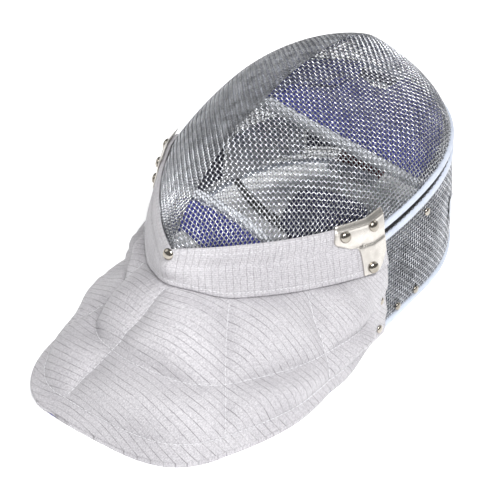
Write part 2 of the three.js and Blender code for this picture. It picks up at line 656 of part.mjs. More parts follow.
const CHEEK_FIRST = 0.24;         // front end of a cheek pad, as a share of the ridge
const CHEEK_LAST = 0.42;          // and its rear end
const CHEEK_OUTER = 0.88;         // its edge towards the rim, as a share of the section
const CHEEK_ENDS = [0.7, 0.8];    // its arched inner edge at both ends
const CHEEK_ARCH = 0.2;           // and how far the arch rises between them
const cheekInner = (run) => (
  lerp(CHEEK_ENDS[0], CHEEK_ENDS[1], run) - CHEEK_ARCH * Math.sin(Math.PI * run));
for (const [name, side] of SIDES) {
  const cheekPatch = (u, v) => {
    const run = side > 0 ? u : 1 - u;
    return facePoint(lerp(CHEEK_FIRST, CHEEK_LAST, run), side * lerp(CHEEK_OUTER, cheekInner(run), v));
  };
  add(`cheek_pad_${name}`, plate(cheekPatch, 8, 4, PAD_TOP - CHEEK_THICKNESS, PAD_TOP), NAVY);
}

// ---------------------------------------------------------------- rear pads, strap
const REAR_PAD_FRONT = 0.62;      // rear pads start at this side share
const REAR_PAD_END = 0.31;        // and stop at this one, short of the tongue
const REAR_PAD_FOOT = 0.2;
const REAR_PAD_HEAD = 0.62;
const REAR_PAD_SWELL = 10;        // and are this much thicker at the foot
for (const [name, side] of SIDES) {
  const rearPatch = (u, v) => wallPoint(
    side * (side > 0 ? lerp(REAR_PAD_FRONT, REAR_PAD_END, u) : lerp(REAR_PAD_END, REAR_PAD_FRONT, u)),
    lerp(REAR_PAD_FOOT, REAR_PAD_HEAD, v),
  );
  add(`rear_pad_${name}`, plate(rearPatch, 8, 3,
    (u, v) => PAD_TOP - REAR_PAD_THICKNESS - REAR_PAD_SWELL * (1 - v), PAD_TOP), GREY);
}

const LINER_THICKNESS = 4;
const LINER_FOOT = 0.2;
const LINER_HEAD = 0.76;
const NAPE_CENTRE = 0.13;         // side share left open for the tongue
const LINER_PLAY = 0.015;         // side share left open beside a rear pad
const linerStart = wallSideAtY(26);
const linerPatch = (from, to, head) => (u, v) => (
  wallPoint(lerp(from, to, u), lerp(LINER_FOOT, head, v)));
for (const [name, side] of SIDES) {
  const ends = [side * linerStart, side * (REAR_PAD_FRONT + LINER_PLAY)];
  if (side < 0) ends.reverse();
  add(`side_liner_${name}`, plate(linerPatch(...ends, LINER_HEAD), 6, 3,
    PAD_TOP - LINER_THICKNESS, PAD_TOP), NAVY);
}
for (const [name, side] of SIDES) {
  const ends = [side * (REAR_PAD_END - LINER_PLAY), side * NAPE_CENTRE];
  if (side < 0) ends.reverse();
  add(`nape_liner_${name}`, plate(linerPatch(...ends, REAR_PAD_HEAD), 6, 3,
    PAD_TOP - LINER_THICKNESS, PAD_TOP), NAVY);
}

const STRAP_SIDE = wallSideAtY(100);
const STRAP_CENTRE = STRAP_WIDTH / 2 + 2;
const STRAP_SAG = 76;             // control point ahead of the strap's ends
const strapEnd = (side) => {
  const end = wallPoint(side * STRAP_SIDE, STRAP_CENTRE / wallHeight).setZ(STRAP_CENTRE);
  end.x -= side * (MESH_THICKNESS + 3 * GAP);
  return end;
};
const strapMiddle = at(0, strapEnd(1).y - STRAP_SAG, STRAP_CENTRE);
const strapCurve = new THREE.QuadraticBezierCurve3(strapEnd(-1), strapMiddle, strapEnd(1));
const strapPatch = (u, v) => strapCurve.getPoint(u).addScaledVector(UP, STRAP_WIDTH * (v - 0.5));
add('back_strap', plate(strapPatch, 16, 1, -STRAP_THICKNESS / 2, STRAP_THICKNESS / 2), BLACK);

const TAB_Y = 118;
const TAB_WIDTH = 10;
const TAB_THICKNESS = 2;
const tabSide = wallSideAtY(TAB_Y);
const tabHalf = TAB_WIDTH / 2 / rearLine.length;
const tabPatch = (u, v) => wallPoint(tabSide + tabHalf * (1 - 2 * u), lerp(0.42, 0.62, v));
add('rear_tab', plate(tabPatch, 2, 2, GAP, GAP + TAB_THICKNESS), WHITE);

// ---------------------------------------------------------------- tongue
const ROOT_FOOT = 0.66;           // the root plate runs from here up the wall
const ROOT_HEAD = 0.9;
const rootSide = TONGUE_WIDTH / 2 / rearLine.length;
const rootPatch = (u, v) => wallPoint(rootSide * (1 - 2 * u), lerp(ROOT_FOOT, ROOT_HEAD, v));
const hinge = wallPoint(0, ROOT_FOOT);
hinge.y -= MESH_THICKNESS + 2 * SHEET_GAP + TONGUE_SHEET / 2;
const TONGUE_REACH = 62;          // tip ahead of the hinge
const TONGUE_DROP = 34;           // and below it
const tongueCurve = new THREE.QuadraticBezierCurve3(
  at(0, hinge.y, hinge.z - 2.6 * GAP),
  at(0, hinge.y - TONGUE_REACH * 0.2, hinge.z - TONGUE_DROP * 0.9),
  at(0, hinge.y - TONGUE_REACH, hinge.z - TONGUE_DROP),
);
/** Patch along the tongue, facing the head: shares of its length from the hinge. */
const tonguePatch = (width, start, end) => (u, v) => (
  tongueCurve.getPoint(lerp(end, start, v)).add(at(width * (u - 0.5), 0, 0)));
const SLEEVE_START = 0.45;
const SLEEVE_END = 0.88;
const sleeveLow = TONGUE_SHEET / 2 + GAP;
add('tongue_root', drilled(plate(rootPatch, 2, 2, PAD_TOP - TONGUE_SHEET, PAD_TOP), rootRivets),
  STEEL);
SIDES.forEach(([name], i) => {
  add(`tongue_rivet_${name}`, rivetGeometry(rootRivets[i]), RIVET);
});
add('tongue_spring', plate(tonguePatch(TONGUE_WIDTH, 0, 1), 2, 8, -TONGUE_SHEET / 2,
  TONGUE_SHEET / 2), STEEL);
add('tongue_pad', plate(tonguePatch(TONGUE_PAD_WIDTH, SLEEVE_START, SLEEVE_END), 4, 4, sleeveLow,
  TONGUE_PAD_THICKNESS), MAROON);
add('tongue_binding', plate(tonguePatch(TONGUE_PAD_WIDTH, SLEEVE_END + 0.008, 1), 4, 1, sleeveLow,
  TONGUE_PAD_THICKNESS), GREY);

// ---------------------------------------------------------------- origin
// The origin is the middle of the outline, on the surface that the mask lies on.
const outline = new THREE.Box3().setFromObject(mask);
const middle = outline.getCenter(new THREE.Vector3());
mask.position.set(-middle.x, -middle.y, -outline.min.z);
mask.updateMatrixWorld(true);

export default mask;
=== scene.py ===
"""Fencing mask lying face up: woven wire cage, quilted bib, brackets, pads and sprung tongue.

Shapes are worked out in millimetres in the maker's frame, whose y = 0 is the bracket line, and
are moved to the row frame in metres when a mesh is built. The wearer's left is +X.
"""
import json
import logging
import math
from dataclasses import dataclass, field
from enum import Enum
from typing import Callable, Optional, Sequence

import bpy
import numpy as np
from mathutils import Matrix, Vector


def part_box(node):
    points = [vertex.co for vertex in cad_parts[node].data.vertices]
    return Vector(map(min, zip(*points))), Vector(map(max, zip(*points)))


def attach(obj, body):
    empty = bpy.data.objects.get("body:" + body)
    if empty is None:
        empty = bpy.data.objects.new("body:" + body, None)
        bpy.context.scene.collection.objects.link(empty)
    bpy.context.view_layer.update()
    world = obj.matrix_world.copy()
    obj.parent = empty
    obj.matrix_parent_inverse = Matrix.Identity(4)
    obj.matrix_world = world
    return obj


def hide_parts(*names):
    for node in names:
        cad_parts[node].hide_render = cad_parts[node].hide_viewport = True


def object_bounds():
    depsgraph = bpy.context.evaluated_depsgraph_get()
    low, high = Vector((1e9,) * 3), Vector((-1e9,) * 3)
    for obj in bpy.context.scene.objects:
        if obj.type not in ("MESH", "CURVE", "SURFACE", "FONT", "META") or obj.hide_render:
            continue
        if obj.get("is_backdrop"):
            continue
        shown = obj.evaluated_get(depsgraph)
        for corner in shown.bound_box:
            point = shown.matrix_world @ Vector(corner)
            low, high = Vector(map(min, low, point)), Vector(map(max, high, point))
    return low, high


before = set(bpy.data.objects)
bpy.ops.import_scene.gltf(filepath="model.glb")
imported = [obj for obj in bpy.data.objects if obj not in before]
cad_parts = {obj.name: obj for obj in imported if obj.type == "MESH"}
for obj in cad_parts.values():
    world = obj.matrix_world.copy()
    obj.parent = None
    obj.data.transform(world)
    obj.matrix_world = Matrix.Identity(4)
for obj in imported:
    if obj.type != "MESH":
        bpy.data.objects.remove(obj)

Array = np.ndarray
MM = 0.001
AIM_HEIGHT = 0.086
log = logging.getLogger("mask")


# ------------------------------------------------------------------ small helpers
def smooth(x: Array, low: float, high: float) -> Array:
    """Cubic step: 0 below low, 1 above high, 3t^2 - 2t^3 between."""
    t = np.clip((x - low) / (high - low), 0, 1)
    return t * t * (3 - 2 * t)


def lerp(a: Array, b: Array, t: Array) -> Array:
    """Straight mix of a and b."""
    return a + (b - a) * t


def unit(vectors: Array) -> Array:
    """Vectors along the last axis, scaled to length one."""
    return vectors / np.maximum(np.linalg.norm(vectors, axis=-1, keepdims=True), 1e-9)


def mirror(points: Array, signed: Array) -> Array:
    """Points with x turned round where signed is below zero."""
    out = np.array(points, dtype=float)
    out[..., 0] *= np.where(signed < 0, -1.0, 1.0)
    return out


def grid(columns: int, rows: int) -> tuple[Array, Array]:
    """Two parameters from 0 to 1 on a grid of (columns + 1) by (rows + 1)."""
    return np.meshgrid(np.linspace(0, 1, columns + 1), np.linspace(0, 1, rows + 1), indexing="ij")


def pair(a: "Array | float", b: "Array | float") -> Sequence[Array]:
    """Both values as float arrays of one shape."""
    return np.broadcast_arrays(np.asarray(a, float), np.asarray(b, float))


def superellipse(share: Array, half: float, start: float, end: float,
                 exponent: float) -> tuple[Array, Array]:
    """Quarter of a superellipse, from its widest place to its end.

    Args:
        share: share of the quarter turn.
        half: half width at the widest place.
        start: y at the widest place.
        end: y at the end.
        exponent: 2 for an ellipse, more for a squarer outline.

    Returns:
        x and y.
    """
    turn, power = np.clip(share, 0, 1) * (math.pi / 2), 2 / exponent
    return (half * np.maximum(np.cos(turn), 0) ** power,
            start + (end - start) * np.sin(turn) ** power)


def grid_normals(points: Array) -> Array:
    """Unit normals of a grid: the cross product of its two differences."""
    return unit(np.cross(np.gradient(points, axis=0), np.gradient(points, axis=1)))


def grid_arcs(points: Array) -> Array:
    """Running lengths along both ways of a grid, as (n, m, 2)."""
    along = np.linalg.norm(np.diff(points, axis=0), axis=-1).cumsum(0)
    up = np.linalg.norm(np.diff(points, axis=1), axis=-1).cumsum(1)
    out = np.zeros(points.shape[:2] + (2,))
    out[1:, :, 0] = along
    out[:, 1:, 1] = up
    return out


class Noise:
    """Seeded lattice noise from -1 to 1 in two dimensions."""

    def __init__(self, seed: int, size: int = 64) -> None:
        """Fill the lattice from one seed."""
        self.lattice = np.random.default_rng(seed).uniform(-1, 1, (size, size))

    def at(self, x: Array, y: Array) -> Array:
        """Lattice values mixed with a cubic step between the four nearest knots."""
        size = len(self.lattice)
        i, j = np.floor(x).astype(int), np.floor(y).astype(int)
        a, b = smooth(x - i, 0, 1), smooth(y - j, 0, 1)
        pick = lambda p, q: self.lattice[p % size, q % size]
        low = lerp(pick(i, j), pick(i + 1, j), a)
        return lerp(low, lerp(pick(i, j + 1), pick(i + 1, j + 1), a), b)


class Outline:
    """A line through points that is read by its share of length."""

    def __init__(self, points: Array) -> None:
        """Measure the running length of the points."""
        self.points = np.asarray(points, dtype=float)
        steps = np.linalg.norm(np.diff(self.points, axis=0), axis=1)
        self.arcs = np.concatenate([[0.0], steps.cumsum()])
        self.length = float(self.arcs[-1])

    def at(self, share: Array) -> Array:
        """Points at shares of the length."""
        arc = np.clip(share, 0, 1) * self.length
        return np.stack([np.interp(arc, self.arcs, self.points[:, k]) for k in range(3)], axis=-1)

    def share_at_y(self, y: float) -> float:
        """Share where y, which grows along the line, reaches a value."""
        return float(np.interp(y, self.points[:, 1], self.arcs) / self.length)


# ------------------------------------------------------------------ mesh building
class Skin:
    """Points and faces collected for one piece, in millimetres of the maker's frame."""

    shift = np.zeros(3)

    def __init__(self) -> None:
        """Start empty."""
        self.points: list[Array] = []
        self.uvs: list[Array] = []
        self.faces: list[Array] = []
        self.count = 0

    def add(self, points: Array, faces: Sequence[Array], uv: Optional[Array] = None) -> None:
        """Append a patch.

        Args:
            points: places, (n, 3).
            faces: arrays of corner numbers, each (k, 3) or (k, 4).
            uv: places on the flat cloth in millimetres, (n, 2).
        """
        self.points.append(points)
        self.uvs.append(np.zeros((len(points), 2)) if uv is None else uv)
        self.faces += [f + self.count for f in faces if len(f)]
        self.count += len(points)

    def build(self, name: str) -> bpy.types.Object:
        """Make the object, with its place in its mesh and its flat places as a UV map."""
        points = (np.concatenate(self.points) + Skin.shift) * MM
        uvs = np.concatenate(self.uvs) * MM
        loops = np.concatenate([f.ravel() for f in self.faces]).astype(np.int32)
        totals = np.concatenate([np.full(len(f), f.shape[1]) for f in self.faces]).astype(np.int32)
        starts = np.concatenate([[0], totals.cumsum()[:-1]]).astype(np.int32)
        mesh = bpy.data.meshes.new(name)
        mesh.vertices.add(len(points))
        mesh.vertices.foreach_set("co", points.astype(np.float32).ravel())
        mesh.loops.add(len(loops))
        mesh.loops.foreach_set("vertex_index", loops)
        mesh.polygons.add(len(totals))
        mesh.polygons.foreach_set("loop_start", starts)
        mesh.polygons.foreach_set("loop_total", totals)
        mesh.update(calc_edges=True)
        layer = mesh.uv_layers.new(name="cloth")
        layer.uv.foreach_set("vector", uvs[loops].astype(np.float32).ravel())
        mesh.polygons.foreach_set("use_smooth", np.ones(len(totals), dtype=bool))
        mesh.validate()
        item = bpy.data.objects.new(name, mesh)
        bpy.context.scene.collection.objects.link(item)
        return item


def quads(n: int, m: int, wrap: bool = False) -> Array:
    """Corner numbers of a grid's quads, closed round the second way when wrap is set."""
    i, j = np.meshgrid(np.arange(n - 1), np.arange(m if wrap else m - 1), indexing="ij")
    k = (j + 1) % m
    return np.stack([i * m + j, (i + 1) * m + j, (i + 1) * m + k, i * m + k], -1).reshape(-1, 4)


def add_shell(skin: Skin, points: Array, low: Array, high: Array, uv: Optional[Array] = None,
              normals: Optional[Array] = None) -> None:
    """Closed shell over a grid: the points moved along their normals by low and by high.

    Args:
        skin: where the shell goes.
        points: grid seen from outside, first way to the right and second way up, (n, m, 3).
        low: offset of the inner face, a number or (n, m).
        high: offset of the outer face.
        uv: flat places, (n, m, 2); running lengths when left out.
        normals: directions of the offsets; the grid's own when left out.
    """
    n, m = points.shape[:2]
    away = grid_normals(points) if normals is None else normals
    flat = (grid_arcs(points) if uv is None else uv).reshape(-1, 2)
    spread = lambda offset: np.broadcast_to(offset, (n, m))[..., None]
    outer = (points + away * spread(high)).reshape(-1, 3)
    inner = (points + away * spread(low)).reshape(-1, 3)
    face = quads(n, m)
    ring = np.concatenate([
        np.arange(n) * m, (n - 1) * m + np.arange(1, m),
        np.arange(n - 2, -1, -1) * m + m - 1, np.arange(m - 2, 0, -1),
    ])
    after = np.roll(ring, -1)
    rim = np.stack([ring + n * m, after + n * m, after, ring], -1)
    skin.add(np.concatenate([outer, inner]), [face, face[:, ::-1] + n * m, rim],
             np.concatenate([flat, flat]))


def add_bar(skin: Skin, rings: Array) -> None:
    """Closed bar through rings of points, (n, m, 3), with a point in the middle of each end."""
    n, m = rings.shape[:2]
    points = np.concatenate([rings.reshape(-1, 3), rings[:1].mean(1), rings[-1:].mean(1)])
    j = np.arange(m)
    k = (j + 1) % m
    first = np.stack([np.full(m, n * m), j, k], -1)
    last = np.stack([np.full(m, n * m + 1), (n - 1) * m + k, (n - 1) * m + j], -1)
    arcs = np.linalg.norm(np.diff(rings.mean(1), axis=0), axis=-1).cumsum()
    along = np.repeat(np.concatenate([[0.0], arcs]), m)
    round_it = np.tile(np.linalg.norm(rings[0] - rings[0, :1], axis=-1), n)
    uv = np.concatenate([np.stack([along, round_it], -1), np.zeros((2, 2))])
    skin.add(points, [quads(n, m, wrap=True), first, last], uv)


def ring_path(path: Array, normals: Array, profile: Array) -> Array:
    """A profile carried along a path.

    Args:
        path: centre line, (n, 3).
        normals: direction of the profile's second way, (n, 3).
        profile: closed outline, (m, 2): sideways and along the normal, anticlockwise.

    Returns:
        Rings of points, (n, m, 3).
    """
    tangent = unit(np.gradient(path, axis=0))
    aside = unit(np.cross(tangent, normals))
    away = np.cross(aside, tangent)
    sideways = profile[None, :, :1] * aside[:, None]
    return path[:, None] + sideways + profile[None, :, 1:] * away[:, None]


def circle(radius: float, sides: int, squash: float = 1.0) -> Array:
    """Points round a circle, flattened the second way by squash."""
    turn = np.arange(sides) * (2 * math.pi / sides) + math.pi / sides
    return radius * np.stack([np.cos(turn), squash * np.sin(turn)], -1)


def rounded_bar(width: float, height: float, radius: float, steps: int = 5) -> Array:
    """Outline of a rectangle with round corners, anticlockwise."""
    turn = np.linspace(0, math.pi / 2, steps)
    corners = []
    for quarter, (a, b) in enumerate([(1, 1), (-1, 1), (-1, -1), (1, -1)]):
        angle = turn + quarter * math.pi / 2
        centre = np.array([a * (width / 2 - radius), b * (height / 2 - radius)])
        corners.append(centre + radius * np.stack([np.cos(angle), np.sin(angle)], -1))
    return np.concatenate(corners)


def add_stitches(skin: Skin, path: Array, normals: Array, length: float = 2.4, gap: float = 0.9,
                 radius: float = 0.32) -> None:
    """Row of stitches along a path: each is a short thread that dips at both ends.

    Args:
        skin: where the threads go.
        path: seam on the cloth, (n, 3).
        normals: outward directions, (n, 3).
        length: length of one stitch.
        gap: length of the gap between two.
        radius: radius of the thread.
    """
    line = Outline(path)
    number = max(int(line.length / (length + gap)), 1)
    start = np.arange(number) * (length + gap) + gap / 2
    along = np.linspace(0, 1, 5)
    share = (start[:, None] + along[None] * length) / line.length
    points = line.at(share)
    away = unit(outline_values(line, normals, share))
    lift = radius * (0.75 - 1.6 * (2 * along - 1) ** 4)
    points = points + away * lift[None, :, None]
    tangent = unit(np.gradient(points, axis=1))
    aside = unit(np.cross(tangent, away))
    up = np.cross(aside, tangent)
    thin = radius * np.array([0.45, 0.95, 1.0, 0.95, 0.45])
    ring = circle(1.0, 5)[None, None]
    around = ring[..., :1] * aside[:, :, None] + ring[..., 1:] * up[:, :, None]
    rings = points[:, :, None] + thin[None, :, None, None] * around
    for one in rings:
        add_bar(skin, one)


def outline_values(line: Outline, values: Array, share: Array) -> Array:
    """Values given at a line's points, read at shares of its length."""
    arc = np.clip(share, 0, 1) * line.length
    return np.stack([np.interp(arc, line.arcs, values[:, k]) for k in range(values.shape[1])], -1)


def add_turned(skin: Skin, profile: Array, place: Array, direction: Array, sides: int = 40) -> None:
    """Profile of (radius, height) from its lower axis point to its upper one, turned round."""
    axis = unit(direction)
    helper = np.array([0.0, 0.0, 1.0]) if abs(axis[2]) < 0.9 else np.array([1.0, 0.0, 0.0])
    right = unit(np.cross(helper, axis))
    ahead = np.cross(axis, right)
    turn = np.arange(sides) * (2 * math.pi / sides)
    around = np.cos(turn)[:, None] * right + np.sin(turn)[:, None] * ahead
    rings = place + profile[1:-1, :1, None] * around + profile[1:-1, 1:, None] * axis
    n = len(rings)
    ends = place + profile[[0, -1], 1][:, None] * axis
    points = np.concatenate([rings.reshape(-1, 3), ends])
    j = np.arange(sides)
    k = (j + 1) % sides
    low = np.stack([np.full(sides, n * sides), k, j], -1)
    high = np.stack([np.full(sides, n * sides + 1), (n - 1) * sides + j, (n - 1) * sides + k], -1)
    skin.add(points, [quads(n, sides, wrap=True)[:, ::-1], low, high])


# ------------------------------------------------------------------ the mask's own surfaces
class Side(Enum):
    """The wearer's two sides."""

    LEFT = 1
    RIGHT = -1

    @property
    def label(self) -> str:
        """Word at the end of a node's name."""
        return self.name.lower()


@dataclass
class MaskShape:
    """Outlines and surfaces that every piece of the mask follows.

    Lengths are in millimetres. Shares along the rim run from 0 at the chin to 1 at the crown and
    are negative on the wearer's right.
    """

    cage_half_width: float = 105.0
    bracket_half_width: float = 98.0
    crown_depth: float = 187.0
    chin_depth: float = 127.0
    widest_depth: float = 70.0
    rim_height: float = 86.0
    crown_rise: float = 24.0
    chin_rise: float = 12.0
    ridge_height: float = 101.0
    rear_half_width: float = 111.5
    rear_depth: float = 194.0
    rear_straight: float = 65.0
    rear_front: float = -18.0
    wall_bulge: float = 2.0
    wall_drop: float = 7.0
    hem_half_width: float = 114.0
    hem_depth: float = 228.0
    hem_back: float = 3.0
    bib_top_back: float = 11.0
    collar_above: float = 18.0
    collar_below: float = 26.0
    collar_below_chin: float = 17.0
    collar_flare: float = 7.0
    chin_round: float = 0.022
    skin: float = 1.7
    gap: float = 0.3
    collar_foot: float = 0.8
    bib_top_drop: float = 3.0
    far_lean: float = 13.0
    near_lean: float = 7.0
    share_steps: int = 700
    side_steps: int = 160
    seam_lead: float = 0.2
    crown_exponent: float = 2.3
    rear_lead: float = 0.3
    rear_exponent: float = 2.1
    hem_exponent: float = 3.8
    bib_foot: float = 5.0
    wall_foot: float = 0.6

    def __post_init__(self) -> None:
        """Trace the outlines and tabulate the face surface."""
        u = np.linspace(0, 1, 241)
        forward = 1 - (0.7 * u + 0.3 * u ** 3)
        self.collar = Outline(np.stack([
            self.bracket_half_width * u, -self.chin_depth * forward,
            self.rim_height + self.chin_rise * forward ** 1.6], -1))
        self.seam = Outline(self._seam(np.linspace(0, 1, 421)))
        self.rim = Outline(np.concatenate([self.collar.points[:-1], self.seam.points]))
        self.ridge = Outline(self._ridge())
        turn = np.linspace(0, math.pi / 2, 361)
        power = 2 / self.hem_exponent
        self.hem = Outline(np.stack([
            self.hem_half_width * np.sin(turn) ** power,
            self.hem_back - (self.hem_depth + self.hem_back) * np.maximum(np.cos(turn), 0) ** power,
            np.zeros_like(turn)], -1))
        self.rear = Outline(self._rear(np.linspace(0, 1, 361)))
        self.bracket_share = self.collar.length / self.rim.length
        self.bib_end = self.rim.share_at_y(self.bib_top_back)
        self.wall_start = self.rim.share_at_y(-2)
        self._tabulate()

    def _seam(self, u: Array) -> Array:
        """Rim behind the brackets: a widening side, then a superellipse round the crown."""
        lead = self.seam_lead
        y = self.widest_depth * u / lead
        narrower = self.cage_half_width - self.bracket_half_width
        x = self.cage_half_width - narrower * (1 - np.clip(u / lead, 0, 1)) ** 2
        round_x, round_y = superellipse((u - lead) / (1 - lead), self.cage_half_width,
                                        self.widest_depth, self.crown_depth, self.crown_exponent)
        x, y = np.where(u < lead, x, round_x), np.where(u < lead, y, round_y)
        return np.stack([x, y, self.rim_height + self.crown_rise * y / self.crown_depth], -1)

    def _rear(self, u: Array) -> Array:
        """Rear rim on the surface: straight sides, then a superellipse."""
        lead = self.rear_lead
        straight = lerp(self.rear_front, self.rear_straight, u / lead)
        x, y = superellipse((u - lead) / (1 - lead), self.rear_half_width, self.rear_straight,
                            self.rear_depth, self.rear_exponent)
        x, y = np.where(u < lead, self.rear_half_width, x), np.where(u < lead, straight, y)
        return np.stack([x, y, np.zeros_like(u)], -1)

    def _ridge(self) -> Array:
        """Centre ridge: a centripetal spline through its knots, cubic between each two."""
        front = [(0.953, 0.267), (0.858, 0.455), (0.709, 0.614), (0.394, 0.822), (0.04, 0.94)]
        back = [(0.24, 1.0), (0.508, 0.97), (0.749, 0.851), (0.925, 0.594)]
        base, top = self.rim_height, self.ridge_height
        knots = [(0, -self.chin_depth, base + self.chin_rise)]
        knots += [(0, -self.chin_depth * y, base + top * z) for y, z in front]
        knots += [(0, self.crown_depth * y, base + top * z) for y, z in back]
        knots += [(0, self.crown_depth, base + self.crown_rise)]
        p = np.array(knots, dtype=float)
        p = np.concatenate([[2 * p[0] - p[1]], p, [2 * p[-1] - p[-2]]])
        t = np.linspace(0, 1, 60)[:, None]
        pieces = []
        for k in range(len(knots) - 1):
            a, b, c, d = p[k:k + 4]
            da, db, dc = (math.sqrt(np.linalg.norm(v)) for v in (b - a, c - b, d - c))
            m1 = ((b - a) / da - (c - a) / (da + db) + (c - b) / db) * db
            m2 = ((c - b) / db - (d - b) / (db + dc) + (d - c) / dc) * db
            pieces.append(b + m1 * t + (3 * (c - b) - 2 * m1 - m2) * t ** 2
                          + (2 * (b - c) + m1 + m2) * t ** 3)
        return np.concatenate([q[:-1] for q in pieces[:-1]] + [pieces[-1]])

    def _tabulate(self) -> None:
        """Sections of the face from ridge to rim, read by their share of length."""
        shares = np.linspace(0, 1, self.share_steps + 1)
        ridge, rim = self.ridge.at(shares)[:, None], self.rim.at(shares)[:, None]
        turn = np.linspace(0, math.pi / 2, 121)[None]
        fold = (0.9 * (1 - smooth(shares, 0.3, 1)))[:, None]
        fullness = (1.05 + 0.45 * smooth(shares, 0.25, 0.6))[:, None]
        across = np.sin(turn) ** fullness
        down = lerp(1 - np.cos(turn), 0.5 * (across + 1 - np.cos(turn)), fold)
        section = np.stack([
            rim[..., 0] * across,
            lerp(ridge[..., 1], rim[..., 1], down),
            lerp(ridge[..., 2], rim[..., 2], down)], -1)
        steps = np.linalg.norm(np.diff(section, axis=1), axis=-1).cumsum(1)
        arcs = np.concatenate([np.zeros((len(shares), 1)), steps], 1)
        self.lengths = arcs[:, -1]
        target = np.linspace(0, 1, self.side_steps + 1)
        table = np.zeros((len(shares), len(target), 3))
        for i, (arc, points) in enumerate(zip(arcs, section)):
            for k in range(3):
                table[i, :, k] = np.interp(target * arc[-1], arc, points[:, k])
        along, across_way = np.gradient(table, axis=0), np.gradient(table, axis=1)
        normal = unit(np.cross(across_way, along))
        normal[0], normal[-1] = normal[1], normal[-2]
        self.table, self.table_normals, self.shares = table, normal, shares

    def _read(self, table: Array, share: Array, side: Array) -> Array:
        """Table values mixed between their four nearest entries."""
        x = np.clip(share, 0, 1) * self.share_steps
        y = np.clip(np.abs(side), 0, 1) * self.side_steps
        i = np.minimum(x.astype(int), self.share_steps - 1)
        j = np.minimum(y.astype(int), self.side_steps - 1)
        a, b = (x - i)[..., None], (y - j)[..., None]
        return lerp(lerp(table[i, j], table[i + 1, j], a),
                    lerp(table[i, j + 1], table[i + 1, j + 1], a), b)

    def section_length(self, share: Array) -> Array:
        """Length of the face sheet from ridge to rim."""
        return np.interp(share, self.shares, self.lengths)

    def face(self, share: Array, side: Array) -> Array:
        """Face point at a share from chin to crown and a signed share from ridge to rim."""
        share, side = pair(share, side)
        return mirror(self._read(self.table, share, side), side)

    def face_normal(self, share: Array, side: Array) -> Array:
        """Outward direction of the face, eased across the ridge."""
        share, side = pair(share, side)
        normal = self._read(self.table_normals, share, side)
        normal[..., 0] *= smooth(np.abs(side) * self.section_length(share), -1.0, 2.0)
        return unit(mirror(normal, side))

    def _ends(self, height: Array) -> tuple[Array, Array]:
        """Shares near the chin and the crown where a section is as long as a height."""
        first, last = int(0.3 * self.share_steps), int(0.7 * self.share_steps)
        chin = np.interp(height, self.lengths[:first], self.shares[:first])
        crown = np.interp(height, self.lengths[:last:-1], self.shares[:last:-1])
        return chin, crown

    def above_rim(self, signed: Array, height: Array) -> Array:
        """Face point a height above the rim, at a signed share along the rim."""
        signed, height = pair(signed, height)
        chin, crown = self._ends(np.maximum(height, 0))
        share = lerp(chin, crown, np.abs(signed))
        side = 1 - np.clip(height / np.maximum(self.section_length(share), 1e-6), 0, 1)
        return mirror(self._read(self.table, share, side), signed)

    def rim_outward(self, signed: Array) -> Array:
        """Outward direction in plan at a signed share along the rim."""
        share = np.abs(signed)
        before, after = self.rim.at(share - 0.01), self.rim.at(share + 0.01)
        before[..., 0] = np.where(share < 0.01, -after[..., 0], before[..., 0])
        along = after - before
        out = unit(np.stack([along[..., 1], -along[..., 0], np.zeros_like(share)], -1))
        out = lerp(np.array([0.0, -1.0, 0.0]), out, smooth(share, 0, 0.045)[..., None])
        return unit(mirror(out, signed))

    def collar_depth(self, signed: Array) -> Array:
        """How far the collar reaches below the rim."""
        return lerp(self.collar_below_chin, self.collar_below, smooth(np.abs(signed), 0, 0.12))

    def below_rim(self, signed: Array, depth: Array, outward: float = 0.0) -> Array:
        """Point below the rim, leaning outward as the collar does."""
        signed, depth = pair(signed, depth)
        lean = self.collar_flare * depth / self.collar_below + outward
        share = np.abs(signed)
        ease = self.chin_round * smooth(depth, 0, 12) * (1 - smooth(share, 0, 0.14))
        point = self.rim.at(share)
        point[..., 1:] = self.rim.at(np.sqrt(share ** 2 + ease ** 2))[..., 1:]
        point = mirror(point, signed)
        point = point + self.rim_outward(signed) * lean[..., None]
        point[..., 2] -= depth
        return point

    def around_rim(self, signed: Array, height: Array) -> Array:
        """Height above the rim, or below it when negative, on the cage's side."""
        signed, height = pair(signed, height)
        return np.where((height >= 0)[..., None], self.above_rim(signed, height),
                        self.below_rim(signed, -height))

    def bib(self, signed: Array, up: Array) -> Array:
        """Bib under its quilting: signed share across, share up from the hem."""
        signed, up = pair(signed, up)
        rim = signed * self.bib_end
        depth, out = self.collar_depth(rim), self.gap + self.skin
        rise = (up - self.collar_foot) / (1 - self.collar_foot)
        top = self.below_rim(rim, lerp(depth, self.bib_top_drop, np.clip(rise, 0, 1)), out)
        hem = mirror(self.hem.at(np.abs(signed)), signed)
        hem[..., 2] = self.bib_foot
        low = lerp(hem, self.below_rim(rim, depth, out), (up / self.collar_foot)[..., None])
        end = 1 - smooth(np.abs(signed), 0.75, 0.95)
        far = smooth(-signed, 0.1, 0.38) * (1 - smooth(up, 0.55, 0.8)) * self.far_lean
        near = smooth(signed, 0.38, 0.62) * (1 - smooth(up, 0.3, 0.8)) * self.near_lean
        low[..., 0] += (far + near) * end
        return np.where((up > self.collar_foot)[..., None], top, low)

    def wall(self, side: Array, up: Array) -> Array:
        """Back wall: side from 1 on the left over the crown to -1, share up from the surface."""
        side, up = pair(side, up)
        low = self.rear.at(1 - np.abs(side))
        high = self.rim.at(1 - np.abs(side) * (1 - self.wall_start))
        low[..., 2] = self.wall_foot
        high[..., 2] -= self.wall_drop
        point = mirror(lerp(low, high, up[..., None]), side)
        out = unit(np.stack([point[..., 0], np.maximum(point[..., 1] - self.rear_straight, 0),
                             np.zeros_like(up)], -1))
        swell = self.wall_bulge * smooth(point[..., 1], 10, self.rear_straight)
        return point + out * (swell * np.sin(math.pi * up))[..., None]

